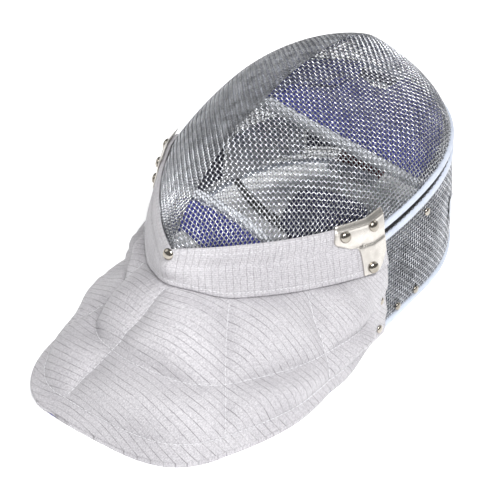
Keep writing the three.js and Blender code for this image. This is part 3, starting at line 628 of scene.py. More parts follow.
    def wall_side(self, y: float) -> float:
        """Side share of the back wall at a y on the rear rim."""
        return 1 - self.rear.share_at_y(y)

    def rim_along(self, offset: Array) -> Array:
        """Rim share at a distance behind the bracket line."""
        return self.bracket_share + offset / self.rim.length


Patch = Callable[[Array, Array], Array]


def patch_point(patch: Patch, u: float, v: float) -> tuple[Array, Array]:
    """Point and outward direction of a patch at one place."""
    tiny = 1e-3
    us, vs = np.array([u, u - tiny, u + tiny, u, u]), np.array([v, v, v, v - tiny, v + tiny])
    p = patch(us, vs)
    return p[0], unit(np.cross(p[2] - p[1], p[4] - p[3]))


# ------------------------------------------------------------------ shader nodes
class Value:
    """A socket's output that can be reckoned with."""

    def __init__(self, graph: "Graph", socket: bpy.types.NodeSocket) -> None:
        """Wrap one output socket."""
        self.graph, self.socket = graph, socket

    def math(self, operation: str, *others: "Value | float") -> "Value":
        """A Math node of this value and others."""
        return self.graph.node("ShaderNodeMath", {"operation": operation},
                               {i: v for i, v in enumerate((self, *others))})

    def __add__(self, other: "Value | float") -> "Value":
        """Sum."""
        return self.math("ADD", other)

    __radd__ = __add__

    def __mul__(self, other: "Value | float") -> "Value":
        """Product."""
        return self.math("MULTIPLY", other)

    __rmul__ = __mul__

    def __sub__(self, other: "Value | float") -> "Value":
        """Difference."""
        return self.math("SUBTRACT", other)

    def __rsub__(self, other: float) -> "Value":
        """Reflected difference."""
        return self * -1.0 + other

    def __pow__(self, other: float) -> "Value":
        """Power."""
        return self.math("POWER", other)

    def sine(self) -> "Value":
        """Sine."""
        return self.math("SINE")

    def size(self) -> "Value":
        """Absolute value."""
        return self.math("ABSOLUTE")

    def step(self, low: float, high: float, to_low: float = 0.0, to_high: float = 1.0) -> "Value":
        """Smooth step from one range to another."""
        return self.graph.node(
            "ShaderNodeMapRange", {"interpolation_type": "SMOOTHSTEP"},
            {"Value": self, "From Min": low, "From Max": high, "To Min": to_low, "To Max": to_high})


class Graph:
    """Node tree of one material."""

    def __init__(self, name: str) -> None:
        """Start a material with its shader and output."""
        self.material = bpy.data.materials.new(name)
        self.material.use_nodes = True
        self.nodes = self.material.node_tree.nodes
        self.links = self.material.node_tree.links
        self.shader = self.nodes["Principled BSDF"]

    def node(self, kind: str, settings: Optional[dict] = None, inputs: Optional[dict] = None,
             output: "str | int" = 0) -> Value:
        """Add a node.

        Args:
            kind: the node's type.
            settings: its own properties, set first.
            inputs: values or links of its sockets, by name or number.
            output: the output that is returned.

        Returns:
            That output.
        """
        made = self.nodes.new(kind)
        for key, value in (settings or {}).items():
            setattr(made, key, value)
        for key, value in (inputs or {}).items():
            self.plug(made.inputs[key], value)
        return Value(self, made.outputs[output])

    def plug(self, socket: bpy.types.NodeSocket, value: "Value | float | tuple") -> None:
        """Link or set one input socket."""
        if isinstance(value, Value):
            self.links.new(value.socket, socket)
        else:
            socket.default_value = value

    def mix(self, factor: "Value | float", a: "Value | tuple", b: "Value | tuple") -> Value:
        """Mix of two colours."""
        return self.node("ShaderNodeMix", {"data_type": "RGBA"}, {0: factor, 6: a, 7: b}, 2)

    def object_place(self) -> Value:
        """Place in the object's own frame, in metres."""
        return self.node("ShaderNodeTexCoord", output="Object")

    def ellipse(self, half_x: float, half_y: float) -> Value:
        """Distance from the middle in plan, 1 on an ellipse of these half widths in metres."""
        x, y, _ = self.parts(self.object_place())
        x, y = x * (1 / half_x), y * (1 / half_y)
        return (x * x + y * y) ** 0.5

    def parts(self, vector: Value) -> list[Value]:
        """The three parts of a vector."""
        split = self.nodes.new("ShaderNodeSeparateXYZ")
        self.plug(split.inputs[0], vector)
        return [Value(self, output) for output in split.outputs]

    def cloth_place(self) -> tuple[Value, Value]:
        """Place on the flat cloth, in metres, as its two parts."""
        across, up, _ = self.parts(self.node("ShaderNodeTexCoord", output="UV"))
        return across, up

    def noise(self, scale: float, detail: float, stretch: tuple = (1, 1, 1)) -> Value:
        """Noise from 0 to 1; scale in cells per metre, stretched by a Mapping node."""
        where = self.object_place()
        if stretch != (1, 1, 1):
            where = self.node("ShaderNodeMapping", inputs={"Vector": where, "Scale": stretch})
        return self.node("ShaderNodeTexNoise", inputs={
            "Vector": where, "Scale": scale, "Detail": detail, "Roughness": 0.55})

    def bump(self, height: Value, strength: float, distance: float) -> Value:
        """Normal of a height pattern; distance in metres."""
        return self.node("ShaderNodeBump", inputs={
            "Height": height, "Strength": strength, "Distance": distance})

    def finish(self, **sockets: "Value | float | tuple") -> bpy.types.Material:
        """Plug the shader's sockets, underscores for spaces, and return the material."""
        for key, value in sockets.items():
            self.plug(self.shader.inputs[key.replace("_", " ")], value)
        return self.material


Colour = tuple[float, float, float, float]


def tint(red: float, green: float, blue: float) -> Colour:
    """Colour from display values of 0 to 255, made linear."""
    line = lambda c: c / 12.92 if c <= 0.04045 else ((c + 0.055) / 1.055) ** 2.4
    return line(red / 255), line(green / 255), line(blue / 255), 1.0


@dataclass(frozen=True)
class Metal:
    """Bare or plated metal with handling marks."""

    name: str
    light: Colour
    dark: Colour
    gloss: tuple[float, float] = (0.2, 0.4)
    scratch: float = 0.12
    brushed: tuple = (1, 1, 1)

    def material(self) -> bpy.types.Material:
        """Cloudy tone, streaks and fine scratches that change colour, gloss and bump."""
        g = Graph(self.name)
        cloud = g.noise(90, 3).step(0.3, 0.75)
        streak = g.noise(420, 4, stretch=self.brushed).step(0.25, 0.8)
        pits = g.noise(2600, 2).step(0.62, 0.8)
        colour = g.mix(cloud * 0.6 + pits * 0.3, self.light, self.dark)
        rough = streak * (self.gloss[1] - self.gloss[0]) + self.gloss[0] + cloud * 0.05
        normal = g.bump(streak + pits * 0.5, self.scratch, 0.0002)
        return g.finish(Base_Color=colour, Metallic=1.0, Roughness=rough, Normal=normal)


@dataclass(frozen=True)
class Cloth:
    """Plain woven or brushed cloth."""

    name: str
    light: Colour
    dark: Colour
    thread: float = 0.0009
    fuzz: float = 0.3
    rough: float = 0.85
    sheen: float = 0.2

    def material(self) -> bpy.types.Material:
        """Warp and weft as two waves on the flat cloth, with fuzz and faded patches."""
        g = Graph(self.name)
        u, v = g.cloth_place()
        turn = math.pi / self.thread
        weave = ((u * turn).sine() * (v * turn).sine()).step(-1, 1)
        fuzz = g.noise(1500, 3)
        patch = g.noise(28, 3).step(0.3, 0.72)
        colour = g.mix(weave * 0.35 + patch * 0.35 + fuzz * self.fuzz, self.dark, self.light)
        height = weave * 0.7 + fuzz * self.fuzz
        return g.finish(Base_Color=colour, Roughness=patch * 0.08 + (self.rough - 0.04),
                        Normal=g.bump(height, 0.55, 0.0004), Sheen_Weight=self.sheen)


@dataclass(frozen=True)
class StripedLame:
    """Conductive cloth: pale metallic weave crossed by darker threads at an even pitch."""

    name: str
    base: Colour = tint(215, 213, 216)
    shade: Colour = tint(148, 145, 151)
    line: Colour = tint(92, 89, 92)
    pitch: float = 0.0044
    width: float = 0.17
    depth: float = 0.75
    rib: float = 0.12
    along_u: bool = False
    warp_pitch: float = 0.0011
    weft_pitch: float = 0.0008
    row_pitch: float = 0.0017

    def material(self) -> bpy.types.Material:
        """Stripes by the flat place, warped a little, over a twill of short bright floats."""
        g = Graph(self.name)
        u, v = g.cloth_place()
        across = u if self.along_u else v
        wander = (g.noise(35, 2) - 0.5) * 0.0012
        phase = ((across + wander) * (math.pi / self.pitch)).sine().size()
        line = phase.step(0.0, self.width * 1.6, 1.0, 0.0)
        faint = g.noise(90, 3).step(0.32, 0.66, 0.25, 1.0)
        warp = ((u * 2 + v) * (math.pi / self.warp_pitch)).sine()
        weft = ((v - u * 0.3) * (math.pi / self.weft_pitch)).sine()
        floats = (warp * weft).step(-0.6, 0.9)
        speck = g.noise(900, 3).step(0.32, 0.68)
        cloud = g.noise(16, 3).step(0.3, 0.75)
        along = v if self.along_u else u
        rows = (along * (math.pi / self.row_pitch)).sine().size()
        fleck = floats * (0.3 - self.rib) + rows * self.rib + speck * 0.5 + cloud * 0.2
        ground = g.mix(fleck, self.shade, self.base)
        colour = g.mix(line * faint * self.depth, ground, self.line)
        height = floats * 0.55 + speck * 0.5 - line * 0.5
        return g.finish(Base_Color=colour, Metallic=speck * 0.22,
                        Roughness=0.62 - floats * 0.12 + line * 0.1,
                        Normal=g.bump(height, 0.5, 0.0005), Sheen_Weight=0.15)


@dataclass(frozen=True)
class Vinyl:
    """Smooth coated edging."""

    name: str
    light: Colour
    dark: Colour
    rough: float = 0.32

    def material(self) -> bpy.types.Material:
        """Even tone with faint scuffs and a soft orange-peel bump."""
        g = Graph(self.name)
        scuff = g.noise(140, 4).step(0.45, 0.8)
        grain = g.noise(1100, 2)
        return g.finish(Base_Color=g.mix(scuff * 0.5, self.light, self.dark),
                        Roughness=scuff * 0.2 + self.rough, Normal=g.bump(grain, 0.15, 0.0002))


@dataclass
class Finishes:
    """Every finish of the mask, by its name, which is its slot unless a piece says otherwise."""

    made: dict[str, bpy.types.Material] = field(default_factory=dict)

    def __post_init__(self) -> None:
        """Build the materials."""
        recipes = [
            Metal("wire_mesh", tint(196, 198, 202), tint(92, 94, 99), (0.16, 0.28), 0.1),
            Metal("plate_steel", tint(212, 208, 202), tint(182, 177, 170), (0.24, 0.36), 0.2,
                  brushed=(1, 6, 6)),
            Metal("black_steel", tint(84, 84, 86), tint(46, 46, 48), (0.35, 0.5)),
            Metal("rivet_steel", tint(176, 170, 160), tint(112, 105, 96), (0.08, 0.2), 0.1),
            Vinyl("edge_band", tint(192, 199, 212), tint(166, 174, 190)),
            StripedLame("lame_cloth"),
            StripedLame("collar_lame", pitch=0.0053, depth=0.55, rib=0.25, along_u=True),
            Cloth("wadding", tint(238, 236, 230), tint(214, 211, 204), fuzz=0.6),
            Cloth("blue_cloth", tint(72, 76, 172), tint(36, 38, 104)),
            # Painted shade: a darker copy of the blue padding, for the cheek pads and liners that
            # sit in shade.
            Cloth("navy_cloth", tint(34, 35, 74), tint(15, 15, 38)),
            Cloth("white_binding", tint(236, 238, 242), tint(198, 201, 210), 0.0011),
            Cloth("grey_cloth", tint(248, 248, 250), tint(210, 212, 218), fuzz=0.5),
            Cloth("elastic", tint(44, 44, 48), tint(16, 16, 19), 0.0013),
            Cloth("maroon_cloth", tint(138, 58, 66), tint(78, 26, 34)),
            Cloth("thread", tint(238, 238, 240), tint(206, 206, 210), 0.0006),
        ]
        self.made = {recipe.name: recipe.material() for recipe in recipes}

    def dress(self, item: bpy.types.Object, slot: str, finish: Optional[str] = None) -> None:
        """Give a piece its material, picked by its finish, else by its slot."""
        item.data.materials.clear()
        item.data.materials.append(self.made[finish or slot])


@dataclass
class Bench:
    """Where pieces are finished: shape, materials and the calls that place them."""

    shape: MaskShape
    finishes: Finishes

    def put(self, skin: Skin, name: str, slot: str, replaces: Sequence[str] = (),
            body: str = "cage", finish: Optional[str] = None) -> bpy.types.Object:
        """Build a piece, dress it and make it ride on its body."""
        item = skin.build(name)
        self.finishes.dress(item, slot, finish)
        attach(item, body)
        if replaces:
            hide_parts(*replaces)
        log.info("%s: %d faces", name, len(item.data.polygons))
        return item

    def cloth(self, item: bpy.types.Object, length: float, held: str, rests_on: Sequence[str],
              with_pieces: Sequence[bpy.types.Object] = ()) -> None:
        """Log the cut of a closed thin piece: half its surface, this long in mm."""
        area = sum(face.area for face in item.data.polygons) / 2
        width = area / (length * MM)
        log.info("%s: cut %.3f by %.3f m", item.name, width, length * MM)


# ------------------------------------------------------------------ wire cage
@dataclass
class WireCage:
    """Woven steel wire of the face and the back wall."""

    pitch: float = 3.2
    wire: float = 1.05
    sides: int = 4
    face_first: float = 11.5
    face_last: float = 0.985
    back_rows: int = 28
    end_gap: float = 0.6
    last_gap: float = 0.4
    rim_gap: float = 0.8
    wall_rise: tuple[float, float] = (0.005, 0.995)

    def _thread(self, skin: Skin, path: Array, normal: Array) -> None:
        """One wire along a path."""
        if len(path) > 2:
            add_bar(skin, ring_path(path, normal, circle(self.wire / 2, self.sides)))

    def lateral(self, shape: MaskShape) -> Skin:
        """Wires across the face: over and under by the cosine of arc over pitch."""
        skin = Skin()
        count = int((shape.ridge.length * self.face_last - self.face_first) / self.pitch)
        for i in range(count + 1):
            share = (self.face_first + i * self.pitch) / shape.ridge.length
            reach = float(shape.section_length(share)) - self.end_gap
            half = int((reach - self.last_gap) / (self.pitch / 2))
            arc = np.concatenate([[-reach], np.arange(-half, half + 1) * self.pitch / 2, [reach]])
            wave = (-1) ** i * np.cos(math.pi * arc / self.pitch)
            side = arc / (reach + self.end_gap)
            normal = shape.face_normal(share, side)
            path = shape.face(share, side) + normal * self._lift(wave)[:, None]
            self._thread(skin, path, normal)
        return skin

    def _lift(self, wave: Array) -> Array:
        """Height of a wire's middle under the cage's outer face."""
        return -self.wire + wave * self.wire / 2

    def lengthwise(self, shape: MaskShape) -> Skin:
        """Wires beside the ridge at even arcs from it, woven against the lateral ones."""
        skin = Skin()
        widest = int(shape.lengths.max() / self.pitch)
        step = self.pitch / 2 / shape.ridge.length
        share = np.arange(self.face_first / shape.ridge.length, self.face_last, step)
        length = shape.section_length(share)
        for k in range(-widest, widest + 1):
            on = np.flatnonzero(length - self.rim_gap > abs(k) * self.pitch)
            for run in np.split(on, np.flatnonzero(np.diff(on) > 1) + 1):
                if len(run) < 4:
                    continue
                side = k * self.pitch / length[run]
                normal = shape.face_normal(share[run], side)
                wave = -((-1) ** k) * np.cos(math.pi * run / 2)
                path = shape.face(share[run], side) + normal * self._lift(wave)[:, None]
                self._thread(skin, path, normal)
        return skin

    def _wall_count(self, shape: MaskShape) -> int:
        """Upright wires on each side of the back wall's middle."""
        return int(shape.rear.length * 1.02 / self.pitch)

    def uprights(self, shape: MaskShape) -> Skin:
        """Upright wires of the back wall."""
        skin = Skin()
        count = self._wall_count(shape)
        up = np.linspace(*self.wall_rise, 2 * self.back_rows + 1)
        for k in range(-count, count + 1):
            side = np.full_like(up, k / count)
            normal = self.wall_normal(shape, side, up)
            wave = (-1) ** k * np.cos(math.pi * np.arange(len(up)) / 2)
            path = shape.wall(side, up) + normal * self._lift(wave)[:, None]
            self._thread(skin, path, -normal)
        return skin

    def levels(self, shape: MaskShape) -> Skin:
        """Level wires of the back wall."""
        skin = Skin()
        count = self._wall_count(shape)
        side = np.linspace(1, -1, 4 * count + 1)
        for row in range(self.back_rows + 1):
            up = np.full_like(side, lerp(*self.wall_rise, row / self.back_rows))
            normal = self.wall_normal(shape, side, up)
            index = np.arange(len(side)) - 2 * count
            wave = -((-1) ** row) * np.cos(math.pi * index / 2)
            path = shape.wall(side, up) + normal * self._lift(wave)[:, None]
            self._thread(skin, path, normal)
        return skin

    @staticmethod
    def wall_normal(shape: MaskShape, side: Array, up: Array) -> Array:
        """Outward direction of the back wall, from small differences."""
        tiny = 2e-3
        along = shape.wall(side - tiny, up) - shape.wall(side + tiny, up)
        upper, lower = np.minimum(up + tiny, 1), np.maximum(up - tiny, 0)
        return unit(np.cross(along, shape.wall(side, upper) - shape.wall(side, lower)))

    def build(self, bench: Bench) -> None:
        """Make the four sets of wires."""
        shape = bench.shape
        bench.put(self.lateral(shape), "face_wires_lateral", "wire_mesh", ["face_mesh"])
        bench.put(self.lengthwise(shape), "face_wires_lengthwise", "wire_mesh")
        bench.put(self.uprights(shape), "back_wires_upright", "wire_mesh", ["back_mesh"])
        bench.put(self.levels(shape), "back_wires_level", "wire_mesh")


@dataclass
class EdgeBands:
    """Coated channels on the edges of both meshes and on the rear rim."""

    width: float = 5.2
    thickness: float = 4.0
    trim_width: float = 4.6
    trim_thickness: float = 3.8
    # size and place of the dark tape that paints the shade in the gap between the bands
    shade_tape_width: float = 10.5
    shade_tape_thickness: float = 1.0
    shade_tape_rise: float = 2.5
    shade_tape_inset: float = 3.6
    face_inset: float = 0.4
    back_inset: float = 0.6
    reach: float = 1.5
    steps: int = 420

    def _bar(self, path: Array, normal: Array, width: float, thickness: float) -> Skin:
        """Round-cornered bar along a path, wide along the sheet."""
        skin = Skin()
        profile = rounded_bar(width, thickness, thickness * 0.42)
        add_bar(skin, ring_path(path, normal, profile))
        return skin

    def build(self, bench: Bench) -> None:
        """Make the three bands, and a dark tape behind the gap between the upper two that stands in
        for the shade there: painted shade.
        """
        shape = bench.shape
        signed = np.linspace(1, -1, self.steps)
        start = shape.rim.share_at_y(shape.bib_top_back + 1)
        share = 1 - np.abs(signed) * (1 - start)
        turned = np.where(signed < 0, -share, share)
        outer, path, inner = (shape.above_rim(turned, np.full_like(turned, self.width / 2 + off))
                              for off in (-self.reach, 0.0, self.reach))
        normal = unit(np.cross(unit(np.gradient(path, axis=0)), inner - outer))
        path = path - normal * self.face_inset
        bench.put(self._bar(path, normal, self.width, self.thickness), "face_edge_channel",
                  "edge_band", ["face_rim_band"])
        height = shape.rim_height - shape.wall_drop
        limit = (1 - start) / (1 - shape.wall_start)
        side = limit * signed
        up = np.full_like(side, 1 - self.width / 2 / height)
        normal = WireCage.wall_normal(shape, side, up)
        path = shape.wall(side, up) - normal * self.back_inset
        bench.put(self._bar(path, normal, self.width, self.thickness), "back_edge_channel",
                  "edge_band", ["back_rim_band"])
        # Painted shade: a dark tape just inside the gap between the face band and the back band, so
        # the gap reads dark.
        shade_tape_up = np.full_like(side, 1 + self.shade_tape_rise / height)
        place = shape.wall(side, shade_tape_up) - normal * self.shade_tape_inset
        tape = bench.put(self._bar(place, normal, self.shade_tape_width, self.shade_tape_thickness),
                         "gap_shade_tape", "elastic")
        run = np.linalg.norm(np.diff(place, axis=0), axis=1).sum()
        bench.cloth(tape, float(run), "stretched", ["back_edge_channel"])
        side = shape.wall_side(shape.hem_back + 1) * signed
        up = np.full_like(side, self.trim_width / 2 / height)
        normal = WireCage.wall_normal(shape, side, up)
        path = shape.wall(side, up) - normal * self.back_inset
        bench.put(self._bar(path, normal, self.trim_width, self.trim_thickness),
                  "rear_rim_channel", "edge_band", ["rear_edge_trim"])


# ------------------------------------------------------------------ bib
@dataclass
class Bib:
    """Quilted bib: outer cloth, wadding, lining, hem and its stitching.

    Each seam holds its share across under the collar and at the hem, from -1 on the right to 1.
    Shares up run from 0 at the hem to 1 at the rim. Depths, swells and gaps are in millimetres.
    """

    columns: int = 380
    rows: int = 110
    swell: float = 11.0
    groove: float = 6.5
    pad_limit: float = 0.87
    seams: tuple = ((-0.6, -0.76), (-0.29, -0.46), (0.0, -0.13), (0.255, 0.365), (0.6, 0.71))
    lobe: float = 2.5
    far_flat: float = 0.85
    lift_place: float = -0.33
    lift_reach: float = 0.09
    lift_height: float = 4.6
    fold_depth: float = 2.3
    stripe_turn: float = 62.0
    skew: float = 0.1
    lining_thickness: float = 1.2
    lining_drop: float = 2.6
    lining_depth: tuple[float, float] = (1.0, 8.6)
    cloth_thickness: float = 1.5
    foot_seam: float = 0.085
    top_seam: float = 0.8
    tall: float = 140.0
    cut_rise: float = 145.0
    hem_centre: float = 60.0
    fold_seed: int = 11
    fold_cell: tuple[float, float] = (85.0, 15.0)
    crease_seed: int = 12
    crease_cell: tuple[float, float] = (30.0, 7.0)
    crease_depth: float = 0.75
    lining_across: float = 0.97
    lining_top: float = 0.76
    wadding_rise: tuple[float, float] = (0.1, 0.74)
    sink: float = 0.8
    thread_rise: float = 0.4
    stitch: tuple[float, float, float] = (3.2, 0.7, 0.3)

    def seam_share(self, seam: tuple, up: Array) -> Array:
        """Share across of a radial seam, from its hem place to its place under the collar."""
        return lerp(seam[1], seam[0], np.clip(up / self.top_seam, 0, 1) ** 1.15)

    def ring_share(self, signed: Array) -> Array:
        """Share up of the seam that runs round the bib half way."""
        return 0.385 - 0.085 * signed + 0.16 * smooth(-signed, 0.22, 0.5)

    def _cell(self, signed: Array, up: Array) -> tuple[Array, Array]:
        """Place between two radial seams, from 0 to 1, and the width of that panel."""
        edges = [np.full_like(up, -1.0)] + [self.seam_share(s, up) for s in self.seams]
        edges = np.stack(edges + [np.full_like(up, 1.0)], 0)
        index = np.clip((signed[None] >= edges).sum(0) - 1, 0, len(edges) - 2)
        low = np.take_along_axis(edges, index[None], 0)[0]
        high = np.take_along_axis(edges, index[None] + 1, 0)[0]
        return (signed - low) / (high - low), high - low

    def puff(self, shape: MaskShape, signed: Array, up: Array) -> Array:
        """Quilting height: rises exponentially from each seam and crowns between them."""
        across, width = self._cell(signed, up)
        reach = lerp(shape.hem.length, 0.6 * shape.hem.length, np.clip(up / self.top_seam, 0, 1))
        near = np.minimum(across, 1 - across) * width * reach
        ring, foot, top = self.ring_share(signed), self.foot_seam, self.top_seam
        low = np.clip((up - foot) / (ring - foot), 0, 1)
        high = np.clip((up - ring) / (top - ring), 0, 1)
        share = np.where(up < ring, low, high)
        span = np.where(up < ring, ring - foot, top - ring) * self.tall
        off = np.minimum(share, 1 - share) * span
        crown = 0.45 + 0.55 * np.sin(math.pi * np.clip(across, 0, 1)) * np.sin(math.pi * share)
        edge = 1 - smooth(np.abs(signed), self.pad_limit - 0.03, self.pad_limit + 0.08)
        crown = crown * (1 - self.far_flat * smooth(-signed, 0.3, 0.6) * smooth(up, 0.2, 0.5))
        rise = (1 - np.exp(-near / self.groove)) * (1 - np.exp(-off / self.groove))
        return self.swell * rise * crown * (0.25 + 0.75 * edge)

    def flat(self, shape: MaskShape, signed: Array, up: Array) -> Array:
        """Place on the flat cloth: the hem unrolled with its turn, less the turn times rise."""
        signed = signed + self.skew * (1 - np.abs(signed)) * (1 - up)
        s = np.linspace(-1, 1, 2001)
        most = math.radians(self.stripe_turn)
        turn = lambda v: most * np.sign(v) * (1 - (1 - np.abs(v)) ** 2.2)
        step = shape.hem.length * (s[1] - s[0])
        run_x = np.cumsum(np.cos(turn(s))) * step
        run_y = np.cumsum(np.sin(turn(s))) * step
        run_x, run_y = run_x - run_x[1000], run_y - run_y[1000]
        rise = up * self.cut_rise
        x = np.interp(signed, s, run_x) - rise * np.sin(turn(signed))
        y = np.interp(signed, s, run_y) + rise * np.cos(turn(signed))
        return np.stack([x, y], -1)

    def surface(self, shape: MaskShape, signed: Array, up: Array) -> tuple[Array, Array, Array]:
        """Cloth with its quilting, folds and lobed hem: places, directions and flat places."""
        flat = self.flat(shape, signed, up)
        base = shape.bib(signed, up)
        across, _ = self._cell(signed, up)
        lobes = np.sin(math.pi * np.clip(across, 0, 1)) ** 0.7 - 0.55
        foot = (1 - smooth(up, 0.0, 0.35)) * (1 - smooth(np.abs(signed), 0.8, 1.0))
        base[..., 2] += self.hem_lift(signed) * (1 - smooth(up, 0.0, 0.2))
        hem = shape.hem.at(np.abs(signed))
        hem = hem * np.array([1.0, 1.0, 0.0]) + np.array([0, self.hem_centre, 0])
        outward = unit(mirror(hem, signed))
        base = base + outward * (self.lobe * lobes * foot)[..., None]
        normals = grid_normals(base)
        x, y = flat[..., 0], flat[..., 1]
        folds = Noise(self.fold_seed).at(x / self.fold_cell[0] + 40, y / self.fold_cell[1] + 40)
        small = Noise(self.crease_seed).at(x / self.crease_cell[0] + 9,
                                           y / self.crease_cell[1] + 60)
        body = smooth(up, 0.02, 0.2) * (1 - smooth(up, 0.74, 0.86))
        creases = self.fold_depth * folds + self.crease_depth * small
        lift = np.maximum(self.puff(shape, signed, up) + body * creases, -self.sink)
        return base + normals * lift[..., None], normals, flat

    def hem_lift(self, signed: Array) -> Array:
        """Height that one stretch of the hem stands off the floor, a bell curve along it."""
        return self.lift_height * np.exp(-((signed - self.lift_place) / self.lift_reach) ** 2)

    def outer(self, bench: Bench) -> bpy.types.Object:
        """Outer cloth, turned under at the hem."""
        u, v = grid(self.columns, self.rows)
        signed, up = 2 * u - 1, v ** 1.05
        points, _, flat = self.surface(bench.shape, signed, up)
        skin = Skin()
        add_shell(skin, points, -self.cloth_thickness, 0.0, flat)
        return bench.put(skin, "bib_cloth", "lame_cloth", ["bib_outer"])

    def hem(self, bench: Bench) -> bpy.types.Object:
        """Folded hem: a soft round bar under the edge of the outer cloth."""
        shape = bench.shape
        signed = np.linspace(-1, 1, 520)
        zero = np.zeros_like(signed)
        foot = np.stack([zero, zero + 0.01, zero + 0.02], 1)
        points, _, flat = self.surface(shape, np.stack([signed] * 3, 1), foot)
        edge = points[:, 0]
        inward = unit(np.stack([-edge[:, 0], -edge[:, 1] - self.hem_centre, zero], -1))
        middle = edge + inward * 2.4
        middle[:, 2] = 2.3 + self.hem_lift(signed)
        profile = np.array([[-4.2, -1.6], [-3.4, -2.2], [1.4, -2.2], [2.3, -1.4], [2.5, 0.4],
                            [2.2, 2.2], [1.2, 3.0], [-1.5, 2.8], [-3.8, 1.6], [-4.4, 0.0]])
        up = np.tile([0.0, 0.0, 1.0], (len(signed), 1))
        skin = Skin()
        add_bar(skin, ring_path(middle, up, profile))
        sideways = np.tile(profile[:, :1] * [[1, 0]], (len(signed), 1))
        flat_uv = np.repeat(flat[:, 0], len(profile), axis=0) + sideways
        skin.uvs[0][:len(flat_uv)] = flat_uv
        return bench.put(skin, "bib_hem_fold", "lame_cloth", ["bib_hem"])

    def lining(self, bench: Bench) -> bpy.types.Object:
        """Inner cloth, from the hem to the collar."""
        u, v = grid(160, 44)
        signed, up = self.lining_across * (2 * u - 1), lerp(0.0, self.lining_top, v)
        base = bench.shape.bib(signed, up)
        base[..., 2] -= self.lining_drop * (1 - smooth(up, 0.0, 0.06))
        quilt = 0.35 * self.puff(bench.shape, signed, up)
        depth = lerp(*self.lining_depth, smooth(up, 0.0, 0.14)) - quilt
        skin = Skin()
        add_shell(skin, base, -depth - self.lining_thickness, -depth,
                  self.flat(bench.shape, signed, up))
        return bench.put(skin, "bib_lining_cloth", "blue_cloth", ["bib_lining"])

    def wadding(self, bench: Bench) -> bpy.types.Object:
        """Wadding between the two cloths."""
        u, v = grid(120, 34)
        signed, up = self.pad_limit * (2 * u - 1), lerp(*self.wadding_rise, v)
        base = bench.shape.bib(signed, up)
        rim = np.minimum(np.minimum(u, 1 - u) * 20, np.minimum(v, 1 - v) * 8)
        full = np.sqrt(np.clip(rim, 0.02, 1))
        high = -2.4 + 0.6 * self.puff(bench.shape, signed, up) * full
        skin = Skin()
        add_shell(skin, base, high - 1.2 - 3.0 * full, high)
        return bench.put(skin, "bib_wadding_layer", "wadding", ["bib_wadding"])

    def stitching(self, bench: Bench) -> bpy.types.Object:
        """Threads of the radial seams, of the ring seam and of the seam over the hem."""
        up = np.linspace(0.1, 0.775, 90)
        ring, foot = np.linspace(-0.86, 0.86, 400), np.linspace(-0.985, 0.985, 500)
        lines = [(self.seam_share(seam, up), up, True) for seam in self.seams]
        lines += [(ring, self.ring_share(ring), False),
                  (foot, np.full_like(foot, self.foot_seam), False)]
        skin = Skin()
        for signed, rise, steep in lines:
            add_stitches(skin, *self.line(bench.shape, signed, rise, steep), *self.stitch)
        return bench.put(skin, "bib_stitches", "lame_cloth", finish="thread")

    def line(self, shape: MaskShape, signed: Array, up: Array, steep: bool) -> tuple[Array, Array]:
        """Places and directions on the cloth along a line, from a narrow grid round it.

        Args:
            shape: the mask's surfaces.
            signed: shares across.
            up: shares up.
            steep: whether the line runs up the cloth and not along it.

        Returns:
            Places a little over the cloth, and its directions there.
        """
        aside = np.array([-0.004, 0.0, 0.004])
        if steep:
            points, normals, _ = self.surface(shape, signed[None] + aside[:, None],
                                              np.broadcast_to(up, (3, len(up))))
            return points[1] + normals[1] * self.thread_rise, normals[1]
        points, normals, _ = self.surface(shape, np.repeat(signed[:, None], 3, axis=1),
                                          up[:, None] + aside)
        return points[:, 1] + normals[:, 1] * self.thread_rise, normals[:, 1]

    def build(self, bench: Bench) -> None:
        cloth = self.outer(bench)
        hem = self.hem(bench)
        threads = self.stitching(bench)
        lining = self.lining(bench)
        wadding = self.wadding(bench)
        length = 2 * bench.shape.hem.length
        bench.cloth(cloth, length * 0.9, "stretched", [wadding.name], [threads])
        bench.cloth(lining, length * 0.85, "stretched", [wadding.name])
        bench.cloth(hem, length, "folded", [cloth.name])


